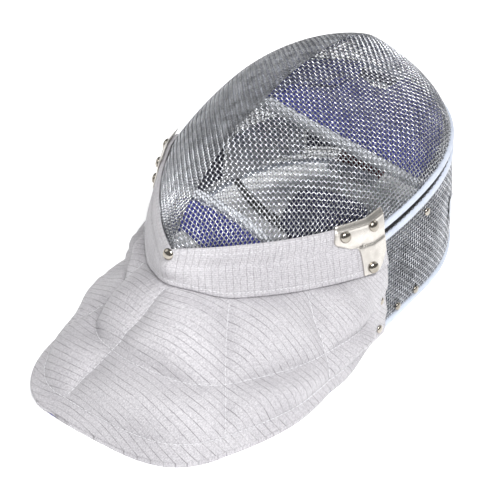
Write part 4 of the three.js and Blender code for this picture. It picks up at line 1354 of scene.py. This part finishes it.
# ------------------------------------------------------------------ collar, brackets, rivets
@dataclass
class Collar:
    """Striped band that covers the rim ahead of the brackets, with its edge stitching."""

    columns: int = 400
    rows: int = 40
    thickness: float = 2.4
    lift: float = 0.6
    over_bib: float = 1.6
    round_edge: float = 1.6
    ripple: float = 0.45
    seed: int = 21
    press: float = 0.35
    press_width: float = 0.7
    tuck: float = 1.1
    tuck_run: float = 3.5
    thread_sink: float = 0.3
    seat: float = 0.45
    stitch_rows: tuple[float, float] = (4.2, 37.5)
    stitch: tuple[float, float, float] = (2.6, 0.7, 0.24)

    def rise(self, height: Array) -> Array:
        """Extra offset where the band lies over the bib, below the rim."""
        return self.lift + self.over_bib * smooth(-height, -4, 3)

    def patch(self, shape: MaskShape, u: Array, v: Array) -> tuple[Array, Array]:
        """Middle surface and height above the rim at shares along and up the band."""
        signed = (2 * u - 1) * shape.bib_end
        height = lerp(-shape.collar_depth(signed), shape.collar_above, v)
        return shape.around_rim(signed, height), height

    def band(self, bench: Bench) -> bpy.types.Object:
        """Band whose edges are rounded over, with a faint ripple."""
        u, v = grid(self.columns, self.rows)
        v = 0.5 - 0.5 * np.cos(math.pi * v) * (1 - 0.25 * np.sin(math.pi * v) ** 2)
        points, height = self.patch(bench.shape, u, v)
        normals = self.soft_normals(points)
        tall = bench.shape.collar_above + bench.shape.collar_below
        edge = np.minimum(v, 1 - v) * tall / self.round_edge
        full = np.sqrt(np.clip(1 - (1 - np.clip(edge, 0, 1)) ** 2, 0.03, 1))
        wave = Noise(self.seed).at(u * 46 + 5, v * 2.2) * self.ripple * np.sin(math.pi * v)
        seam = (np.minimum(v, 1 - v) * tall - self.stitch_rows[0]) / self.press_width
        press = self.press * np.exp(-seam ** 2)
        top = bench.shape.collar_above
        tuck = self.tuck * smooth(height, top - self.tuck_run, top)
        low = self.rise(height) - tuck
        middle = low + self.thickness / 2
        half = self.thickness / 2 * full
        arcs = grid_arcs(points)
        mid = arcs[:, self.rows // 2, 0]
        flat = np.stack([np.repeat(mid[:, None], self.rows + 1, axis=1), height], -1)
        skin = Skin()
        add_shell(skin, points, middle - half, middle + half + (wave - press) * full, flat, normals)
        return bench.put(skin, "collar_cloth", "lame_cloth", ["collar_band"], finish="collar_lame")

    @staticmethod
    def soft_normals(points: Array) -> Array:
        """Grid normals, evened a little up the band so that the rim stays a soft bend."""
        normals = grid_normals(points)
        for _ in range(2):
            inner = (normals[:, :-2] + normals[:, 1:-1] + normals[:, 2:]) / 3
            normals = np.concatenate([normals[:, :1], inner, normals[:, -1:]], axis=1)
        return unit(normals)

    def stitching(self, bench: Bench) -> bpy.types.Object:
        """Threads along both edges of the band."""
        skin = Skin()
        u = np.linspace(0.012, 0.988, 420)
        tall = bench.shape.collar_above + bench.shape.collar_below
        for inset in self.stitch_rows:
            rows = [self.patch(bench.shape, u, np.full_like(u, inset / tall + off))
                    for off in (-0.01, 0.0, 0.01)]
            points = np.stack([points for points, _ in rows], 1)
            height = rows[1][1]
            normals = grid_normals(points)[:, 1]
            lift = self.rise(height) + self.thickness - self.thread_sink
            path = points[:, 1] + normals * lift[:, None]
            add_stitches(skin, path, normals, *self.stitch)
        return bench.put(skin, "collar_stitches", "lame_cloth", finish="thread")

    def build(self, bench: Bench) -> None:
        """Make the band and its threads."""
        band = self.band(bench)
        threads = self.stitching(bench)
        length = 2 * bench.shape.bib_end * bench.shape.rim.length
        bench.cloth(band, length, "stretched", ["bib_cloth"], [threads])


@dataclass
class Brackets:
    """Pressed plates that join the face mesh, the collar and the back mesh."""

    front: float = 36.0
    back: float = 12.0
    above: float = 21.0
    below: float = 25.0
    lip_front: float = 6.0
    lip_back: float = -1.5
    lip_run: float = 22.0
    scoop_start: float = -15.0
    scoop_run: float = 7.5
    lean: float = 0.15
    plate: float = 1.2
    corner: float = 4.0
    head_corner: float = 2.4
    tip_start: float = 2.0
    tip_rise: float = 13.0
    bead: float = 0.55
    bead_place: float = 15.6
    fold: float = 0.5
    roll: float = 0.55
    columns: int = 120
    rows: int = 90

    def foot(self, along: Array) -> Array:
        """Lower edge: a lip ahead, a concave scoop, and a leg that tapers behind."""
        ahead = along + self.front
        lip = lerp(self.lip_front, self.lip_back, np.clip(ahead / self.lip_run, 0, 1))
        scoop = np.clip((along - self.scoop_start) / self.scoop_run, 0, 1)
        low = lip - (self.below + self.lip_back) * scoop ** 2.3
        front = np.clip(ahead / self.corner, 0, 1)
        low = low + self.corner * (1 - np.sqrt(1 - (1 - front) ** 2))
        tip = np.clip((along - self.tip_start) / (self.back - self.tip_start), 0, 1)
        return low + self.tip_rise * tip ** 1.6

    def head(self, along: Array) -> Array:
        """Upper edge, rounded at both corners."""
        ends = np.minimum(along + self.front, self.back - along) / self.head_corner
        ends = 1 - np.clip(ends, 0, 1)
        return self.above - self.head_corner * (1 - np.sqrt(1 - ends ** 2))

    def build(self, bench: Bench, collar: Collar) -> None:
        """Make both plates, pressed with a raised bead under a folded top edge."""
        shape = bench.shape
        for side in Side:
            u, v = grid(self.columns, self.rows)
            ease = 0.5 - 0.5 * np.cos(math.pi * u)
            u = lerp(u, ease, 0.7)
            start, end = (-self.front, self.back) if side is Side.LEFT else (self.back, -self.front)
            along = lerp(start, end, u)
            height = lerp(self.foot(along), self.head(along), v)
            place = shape.rim_along(along + self.lean * height)
            points = shape.around_rim(side.value * place, height)
            bead = self.bead * np.exp(-((height - self.bead_place) / 0.8) ** 2)
            fold = -self.fold * smooth(height, 16.2, 19.0)
            border = np.minimum(np.minimum(along + self.front, self.back - along),
                                np.minimum(height - self.foot(along), self.head(along) - height))
            roll = -self.roll * (1 - smooth(border, 0.0, 1.3))
            low = collar.rise(height) + collar.thickness + collar.seat
            skin = Skin()
            add_shell(skin, points, low, low + self.plate + bead + fold + roll,
                      normals=Collar.soft_normals(points))
            bench.put(skin, f"bracket_plate_{side.label}", "plate_steel", [f"bracket_{side.label}"])


@dataclass
class Rivets:
    """Domed rivets with flat tails, set square to the sheets they hold."""

    large: float = 4.6
    small: float = 3.4
    shank: float = 1.4
    head_gap: float = 0.15
    rim: float = 0.35
    dome: float = 0.52
    tail_gap: float = 0.9
    tail_thickness: float = 0.8
    tail_width: float = 0.68
    plate: float = 1.2
    bib_skin: float = 1.7
    mesh: float = 2.0
    stack: float = 5.5
    span: float = 60.0
    bracket_places: tuple = (("front", -25, 11), ("rear", 1, 12), ("leg", -3, -20))
    bib_places: tuple = (("upper", 0.4), ("lower", 0.06))
    bib_across: float = 0.965
    bib_rise: float = 0.6
    rear_places: tuple = (("top", 65, 0.84), ("middle", 52, 0.105), ("front", 25, 0.105))
    tongue_aside: float = 4.0
    tongue_up: float = 0.8
    tongue_stack: float = 3.7
    chin_up: float = 0.36
    chin_stack: float = 3.0

    def profile(self, radius: float, low: float, high: float) -> Array:
        """Section from tail to dome: flat tail, shank, thin rim and an elliptic head."""
        under, tail, dome = high + self.head_gap, low - self.tail_gap, radius * self.dome
        foot, wide, rim = tail - self.tail_thickness, radius * self.tail_width, under + self.rim
        turn = np.linspace(0.12, math.pi / 2, 12)
        head = np.stack([radius * np.cos(turn), rim + dome * np.sin(turn)], -1)
        base = [[0, foot], [radius * 0.62, foot], [wide, tail - 0.5], [wide, tail],
                [self.shank, tail], [self.shank, under], [radius * 0.97, under],
                [radius, under + 0.3]]
        return np.concatenate([np.array(base), head[:-1], [[0, rim + dome]]])

    def set(self, bench: Bench, name: str, patch: Patch, u: float, v: float, radius: float,
            low: float, high: float) -> None:
        """Set one rivet on a patch."""
        place, direction = patch_point(patch, u, v)
        skin = Skin()
        add_turned(skin, self.profile(radius, low, high), place, direction)
        bench.put(skin, f"set_{name}", "rivet_steel", [name])

    def build(self, bench: Bench, collar: Collar) -> None:
        """Set every rivet."""
        shape = bench.shape
        wall = lambda u, v: shape.wall(1 - 2 * u, v)
        for side in Side:
            sign, label = side.value, side.label

            def around(u: Array, v: Array) -> Array:
                """Patch round the rim, centred on the bracket line."""
                along = shape.rim_along(sign * (u - 0.5) * self.span)
                return shape.around_rim(sign * along, (v - 0.5) * self.span)

            for place, along, height in self.bracket_places:
                band = float(collar.rise(np.array(float(height)))) + collar.thickness
                top = band + collar.seat + self.plate
                low = -self.mesh if height > 0 else -self.stack
                self.set(bench, f"bracket_rivet_{place}_{label}", around,
                         0.5 + sign * along / self.span, 0.5 + height / self.span,
                         self.large, low, top)
            for place, up in self.bib_places:
                self.set(bench, f"bib_rivet_{place}_{label}", lambda u, v: shape.bib(2 * u - 1, v),
                         (sign * self.bib_across + 1) / 2, up, self.small,
                         -self.bib_skin - self.stack, self.bib_rise)
            for place, y, up in self.rear_places:
                self.set(bench, f"rear_rivet_{place}_{label}", wall,
                         (1 - sign * shape.wall_side(y)) / 2, up, self.small, -self.mesh, 0.0)
            self.set(bench, f"tongue_rivet_{label}", wall,
                     0.5 - sign * self.tongue_aside / shape.rear.length, self.tongue_up,
                     self.small, -self.tongue_stack, 0.0)
        tall = 2 * shape.collar_above
        self.set(bench, "chin_rivet", lambda u, v: shape.above_rim(0.02 * (u - 0.5), tall * v),
                 0.5, self.chin_up, self.large, -self.chin_stack, collar.lift + collar.thickness)


# ------------------------------------------------------------------ pads and straps
@dataclass
class Pads:
    """Padding inside the cage and on the back wall, with bindings and the elastic strap."""

    thickness: float = 8.0
    cheek: float = 10.0
    rear: float = 9.0
    liner: float = 4.0
    binding: float = 8.0
    top: float = -2.8
    margin: float = 11.0
    ridge_share: float = 0.43
    rim_share: float = 0.555
    edge_bend: float = 1.3
    top_share: float = 0.94
    inset: float = 33.0
    inset_front: float = 5.0
    chin_first: float = 0.075
    chin_ridge: float = 0.155
    chin_rim: float = 0.205
    cheek_run: tuple[float, float] = (0.24, 0.42)
    cheek_outer: float = 0.88
    cheek_ends: tuple[float, float] = (0.7, 0.8)
    cheek_arch: float = 0.2
    rear_sides: tuple[float, float] = (0.62, 0.31)
    rear_rise: tuple[float, float] = (0.2, 0.62)
    rear_swell: float = 10.0
    liner_rise: tuple[float, float] = (0.2, 0.76)
    liner_play: float = 0.015
    liner_start: float = 26.0
    nape_centre: float = 0.13
    play: float = 0.6
    strap_width: float = 13.0
    strap_thickness: float = 2.0
    strap_lift: float = 2.0
    strap_inset: float = 2.9
    strap_end: float = 100.0
    strap_bow: float = 76.0
    tab_place: float = 118.0
    tab_half: float = 5.0
    tab_rise: tuple[float, float] = (0.42, 0.62)
    tab_layer: tuple[float, float] = (0.4, 2.3)

    def pillow(self, u: Array, v: Array, wide: float, tall: float, radius: float) -> Array:
        """Fullness from 0 at the border to 1, on a quarter circle of a given radius."""
        border = np.minimum(np.minimum(u, 1 - u) * wide, np.minimum(v, 1 - v) * tall) / radius
        return np.sqrt(np.clip(1 - (1 - np.clip(border, 0, 1)) ** 2, 0.02, 1))

    def _patch(self, shape: MaskShape, low: Callable, high: Callable, u: Array, v: Array) -> Array:
        """Face patch between two edges that are share functions of the side."""
        side = 2 * u - 1
        share = lerp(low(np.abs(side)), high(np.abs(side)), v)
        return shape.face(share, side * (1 - self.margin / shape.section_length(share)))

    def hang(self, u: Array, v: Array) -> Array:
        """Distance of the forehead pad inside the mesh: nothing at the rim, most over the head."""
        depth = lerp(self.inset_front, self.inset, smooth(v, 0, 0.5))
        return depth * (1 - np.abs(2 * u - 1) ** 4)

    def _pad(self, bench: Bench, points: Array, u: Array, v: Array, depth: "Array | float",
             name: str, slot: str, node: str, seed: int, crown: float = 1.6, quilt: int = 0,
             inset: "Array | float" = 0.0) -> bpy.types.Object:
        """Closed pillow under a surface, fuller on the wearer's side.

        Args:
            bench: where the piece is finished.
            points: the surface it lies under.
            u: shares along the surface.
            v: shares up the surface.
            depth: thickness, everywhere or over the grid.
            name: the piece's name.
            slot: its slot in the record.
            node: the solid it stands for.
            seed: picks its dents.
            crown: extra fullness of its middle.
            quilt: number of channels sewn across it, or none.
            inset: distance inside the surface, everywhere or over the grid.

        Returns:
            The piece.
        """
        arcs = grid_arcs(points)
        wide, tall = float(arcs[-1, :, 0].mean()), float(arcs[:, -1, 1].mean())
        full = self.pillow(u, v, wide, tall, float(np.mean(depth)) * 0.55)
        swell = np.abs(np.sin(math.pi * u) * np.sin(math.pi * v)) ** 0.5
        dents = Noise(seed).at(arcs[..., 0] / 22, arcs[..., 1] / 22)
        rows = np.abs(np.sin(math.pi * quilt * u)) ** 0.5 if quilt else 1.0
        middle = self.top - inset - depth / 2
        low = middle - depth / 2 * full - (crown * swell * rows + 0.5 * dents) * full
        high = middle + depth / 2 * full + 0.25 * dents * full
        skin = Skin()
        add_shell(skin, points, low, high, arcs)
        item = bench.put(skin, name, slot, [node])
        return item

    def _tape(self, bench: Bench, points: Array, low: float, high: float, name: str, slot: str,
              node: str, held: str, rests_on: str) -> bpy.types.Object:
        """Closed tape with rounded long edges."""
        v = np.linspace(0, 1, points.shape[1])[None]
        full = np.sqrt(np.clip(1 - (2 * v - 1) ** 6, 0.05, 1))
        middle, half = (low + high) / 2, (high - low) / 2
        skin = Skin()
        add_shell(skin, points, middle - half * full, middle + half * full)
        item = bench.put(skin, name, slot, [node])
        arcs = grid_arcs(points)
        length = max(float(arcs[-1, :, 0].mean()), float(arcs[:, -1, 1].mean()))
        bench.cloth(item, length, held, [rests_on])
        return item

    def build(self, bench: Bench) -> None:
        """Make every pad, binding and strap."""
        shape = bench.shape
        share = lambda mm: mm / shape.ridge.length
        edge = lambda side: lerp(self.ridge_share, self.rim_share, side ** self.edge_bend)
        chin = lambda side: lerp(self.chin_ridge, self.chin_rim, side)
        shifted = lambda line, mm: (lambda side: line(side) + share(mm))
        half = self.binding / 2
        u, v = grid(150, 70)
        crown = lambda side: self.top_share + 0 * side
        front = lambda side: self.chin_first + 0 * side
        points = self._patch(shape, shifted(edge, half + self.play), crown, u, v)
        self._pad(bench, points, u, v, self.thickness, "forehead_cushion", "blue_cloth",
                  "forehead_pad", 31, crown=2.2, inset=self.hang(u, v))
        points = self._patch(shape, front, shifted(chin, -half - 2 * self.play), u, v)
        self._pad(bench, points, u, v, self.thickness, "chin_cushion", "blue_cloth", "chin_pad", 32)
        u, v = grid(160, 16)
        low, high = self.top - self.thickness - 1, self.top + self.play
        hang = self.hang(u, 0 * v)
        points = self._patch(shape, shifted(edge, -half), shifted(edge, half), u, v)
        self._tape(bench, points, low - hang, high - hang, "forehead_tape",
                   "white_binding", "forehead_binding", "folded", "forehead_cushion")
        points = self._patch(shape, shifted(chin, -half), shifted(chin, half), u, v)
        self._tape(bench, points, low, high, "chin_tape", "white_binding", "chin_binding", "folded",
                   "chin_cushion")
        for side in Side:
            self._side_pads(bench, side)
        self._strap(bench)
        self._tab(bench)

    def _side_pads(self, bench: Bench, side: Side) -> None:
        """Cheek pad, rear pad and the liners of one side."""
        shape, sign, label = bench.shape, side.value, side.label
        u, v = grid(90, 44)
        run = u if side is Side.LEFT else 1 - u
        inner = lerp(*self.cheek_ends, run) - self.cheek_arch * np.sin(math.pi * run)
        # The cheek pad and the liners take the darker copy of the blue padding: painted shade.
        points = shape.face(lerp(*self.cheek_run, run), sign * lerp(self.cheek_outer, inner, v))
        self._pad(bench, points, u, v, self.cheek, f"cheek_cushion_{label}", "navy_cloth",
                  f"cheek_pad_{label}", 33 + sign)
        points = shape.wall(sign * lerp(*self.rear_sides, run), lerp(*self.rear_rise, v))
        self._pad(bench, points, u, v, self.rear + self.rear_swell * (1 - v),
                  f"rear_cushion_{label}", "grey_cloth", f"rear_pad_{label}", 43 + sign, quilt=3)
        front, rear = self.rear_sides
        start = shape.wall_side(self.liner_start)
        points = shape.wall(sign * lerp(start, front + self.liner_play, run),
                            lerp(*self.liner_rise, v))
        self._pad(bench, points, u, v, self.liner, f"side_lining_{label}", "navy_cloth",
                  f"side_liner_{label}", 53 + sign, crown=0.4)
        points = shape.wall(sign * lerp(rear - self.liner_play, self.nape_centre, run),
                            lerp(*self.rear_rise, v))
        self._pad(bench, points, u, v, self.liner, f"nape_lining_{label}", "navy_cloth",
                  f"nape_liner_{label}", 63 + sign, crown=0.4)

    def _strap(self, bench: Bench) -> None:
        """Elastic across the back, on a curve with one control point, with ribbed edges."""
        shape = bench.shape
        centre = self.strap_width / 2 + self.strap_lift
        side = shape.wall_side(self.strap_end)
        height = shape.rim_height - shape.wall_drop
        end = shape.wall(np.array([side]), np.array([centre / height]))[0]
        end = np.array([end[0] - self.strap_inset, end[1], centre])
        start, control = end * [-1, 1, 1], np.array([0.0, end[1] - self.strap_bow, centre])
        u, v = grid(140, 12)
        t = u[..., None]
        points = (1 - t) ** 2 * start + 2 * t * (1 - t) * control + t ** 2 * end
        points = points + np.array([0, 0, 1.0]) * (self.strap_width * (v - 0.5))[..., None]
        half = self.strap_thickness / 2
        self._tape(bench, points, -half, half, "rear_elastic", "elastic", "back_strap", "stretched",
                   "back_wires_level")

    def _tab(self, bench: Bench) -> None:
        """Small woven loop on the back wall."""
        shape = bench.shape
        side, half = shape.wall_side(self.tab_place), self.tab_half / shape.rear.length
        u, v = grid(24, 30)
        points = shape.wall(side + half * (1 - 2 * u), lerp(*self.tab_rise, v))
        self._tape(bench, points, *self.tab_layer, "rear_loop", "white_binding", "rear_tab",
                   "folded", "back_wires_level")


@dataclass
class Tongue:
    """Sprung steel tongue that holds the head, with its padded sleeve."""

    pad_width: float = 46.0
    sheet: float = 1.4
    mesh: float = 2.0
    root: float = 1.2
    hinge_gap: float = 0.78
    depth: float = 8.0
    reach: float = 62.0
    drop: float = 34.0
    root_foot: float = 0.66
    sleeve: tuple = (0.45, 0.88)
    seam_gap: float = 0.008
    rest: float = 1.0
    edge_drop: float = 1.2
    sleeve_length: float = 30.0
    sleeve_round: float = 3.5
    tape_length: float = 9.0
    tape_round: float = 3.0
    tape_drop: float = 0.8

    def curve(self, shape: MaskShape, t: Array) -> Array:
        """Quadratic curve from the hinge, down and forward to the tip."""
        hinge = shape.wall(np.array([0.0]), np.array([self.root_foot]))[0]
        hinge = hinge - [0, self.mesh + self.root + self.sheet / 2, 0]
        a = hinge - [0, 0, self.hinge_gap]
        b = hinge - [0, self.reach * 0.2, self.drop * 0.9]
        c = hinge - [0, self.reach, self.drop]
        t = np.asarray(t)[..., None]
        return (1 - t) ** 2 * a + 2 * t * (1 - t) * b + t ** 2 * c

    def _sleeve(self, shape: MaskShape, u: Array, v: Array, start: float, end: float) -> Array:
        """Patch along the tongue that faces the head."""
        points = self.curve(shape, lerp(end, start, v))
        points[..., 0] += self.pad_width * (u - 0.5)
        return points

    def build(self, bench: Bench, pads: Pads) -> None:
        """Make the pad and its binding; the steel keeps its CAD solids."""
        shape = bench.shape
        u, v = grid(60, 40)
        points = self._sleeve(shape, u, v, *self.sleeve)
        full = pads.pillow(u, v, self.pad_width, self.sleeve_length, self.sleeve_round)
        swell = np.sin(math.pi * u) * np.sin(math.pi * v)
        skin = Skin()
        add_shell(skin, points, self.rest, self.rest + (self.depth - self.edge_drop) * full + swell)
        pad = bench.put(skin, "tongue_cushion", "maroon_cloth", ["tongue_pad"], "tongue")
        u, v = grid(60, 14)
        points = self._sleeve(shape, u, v, self.sleeve[1] + self.seam_gap, 1.0)
        full = pads.pillow(u, v, self.pad_width, self.tape_length, self.tape_round)
        skin = Skin()
        add_shell(skin, points, self.rest, self.rest + (self.depth - self.tape_drop) * full)
        band = bench.put(skin, "tongue_tape", "grey_cloth", ["tongue_binding"], "tongue")
        bench.cloth(band, self.pad_width, "folded", [pad.name])
        for node, finish in (("tongue_root", "black_steel"), ("tongue_spring", "black_steel"),
                             ("chin_edge_strip", "plate_steel")):
            bench.finishes.dress(bpy.data.objects[node], "plate_steel", finish)


# ------------------------------------------------------------------ studio
@dataclass
class Studio:
    """Pale floor, soft lights and the camera."""

    aim: tuple
    azimuth: float = 35.0
    elevation: float = 35.0
    distance: float = 1.4
    lens: float = 126.0
    sensor: float = 36.0
    shift: tuple = (-0.032, -0.104)
    glow: float = 0.45
    ambient: float = 0.22
    # half widths in metres of the ellipse of painted shadow on the floor
    shadow: tuple[float, float] = (0.108, 0.205)
    floor_half: float = 30.0
    lamps: tuple = (("key", (1.0, -0.7, 1.7), (0, 0, 0.05), 0.9, 49),
                    ("fill", (-1.5, -0.8, 1.2), (0, 0, 0.08), 1.4, 8),
                    ("back", (0.6, 1.5, 1.4), (0, 0, 0.1), 1.6, 10))

    def floor(self) -> None:
        """Wide pale floor that glows a little, but not inside an ellipse under the mask: painted
        shade.
        """
        mesh = bpy.data.meshes.new("floor")
        half = self.floor_half
        mesh.from_pydata([(-half, -half, 0), (half, -half, 0), (half, half, 0), (-half, half, 0)],
                         [], [(0, 1, 2, 3)])
        item = bpy.data.objects.new("floor", mesh)
        bpy.context.scene.collection.objects.link(item)
        g = Graph("floor_white")
        cloud = g.noise(3, 2)
        # painted shade: the glow fades out inside an ellipse round the mask, so the floor under and
        # inside it stays dark
        outside = g.ellipse(*self.shadow).step(0.9, 1.06)
        item.data.materials.append(g.finish(
            Base_Color=g.mix(cloud, (0.93, 0.93, 0.935, 1), (0.96, 0.96, 0.965, 1)),
            Roughness=0.9, Emission_Strength=self.glow,
            Emission_Color=g.mix(outside, (0.0, 0.0, 0.0, 1), (1.0, 1.0, 1.0, 1))))
        item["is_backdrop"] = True

    def light(self, name: str, place: tuple, target: tuple, size: float, power: float) -> None:
        """Square area light that looks at a place."""
        lamp = bpy.data.lights.new(name, "AREA")
        lamp.shape, lamp.size, lamp.energy = "SQUARE", size, power
        item = bpy.data.objects.new(name, lamp)
        bpy.context.scene.collection.objects.link(item)
        item.location = place
        self._look(item, target)

    @staticmethod
    def _look(item: bpy.types.Object, target: tuple) -> None:
        """Turn an object's -Z to a place."""
        away = Vector(target) - item.location
        item.rotation_euler = away.to_track_quat("-Z", "Y").to_euler()

    def build(self) -> None:
        """Make the floor, the world light, three soft lamps and the camera."""
        self.floor()
        world = bpy.data.worlds.new("studio")
        bpy.context.scene.world = world
        world.use_nodes = True
        back = world.node_tree.nodes["Background"]
        back.inputs["Color"].default_value = (1.0, 1.0, 1.0, 1)
        back.inputs["Strength"].default_value = self.ambient
        bpy.context.scene.view_settings.view_transform = "Standard"
        for name, place, target, size, power in self.lamps:
            self.light(name, place, target, size, power)
        lens = bpy.data.cameras.new("camera")
        lens.lens, lens.sensor_width = self.lens, self.sensor
        lens.shift_x, lens.shift_y = self.shift
        lens.clip_start, lens.clip_end = 0.05, 50
        item = bpy.data.objects.new("camera", lens)
        bpy.context.scene.collection.objects.link(item)
        a, e = math.radians(self.azimuth), math.radians(self.elevation)
        away = Vector((math.sin(a) * math.cos(e), -math.cos(a) * math.cos(e), math.sin(e)))
        item.location = Vector(self.aim) + away * self.distance
        self._look(item, self.aim)
        bpy.context.scene.camera = item


def corners(bounds: tuple) -> list[list[float]]:
    """Lowest and highest corner as plain lists."""
    return [[float(x) for x in corner] for corner in bounds]


def main() -> None:
    """Build the mask piece by piece on its frame and light it."""
    logging.basicConfig(level=logging.INFO, format="%(message)s")
    cad_box = corners(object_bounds())
    Skin.shift = np.array([0.0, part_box("bib_hem")[0].y / MM + MaskShape.hem_depth, 0.0])
    Studio(aim=(0.0, float(Skin.shift[1]) * MM, AIM_HEIGHT)).build()
    bench = Bench(MaskShape(), Finishes())
    collar, pads = Collar(), Pads()
    WireCage().build(bench)
    EdgeBands().build(bench)
    Bib().build(bench)
    collar.build(bench)
    Brackets().build(bench, collar)
    Rivets().build(bench, collar)
    pads.build(bench)
    Tongue().build(bench, pads)
    json.dumps(
        {"cad": cad_box, "visual": corners(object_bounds())})


if __name__ == "__main__":
    main()
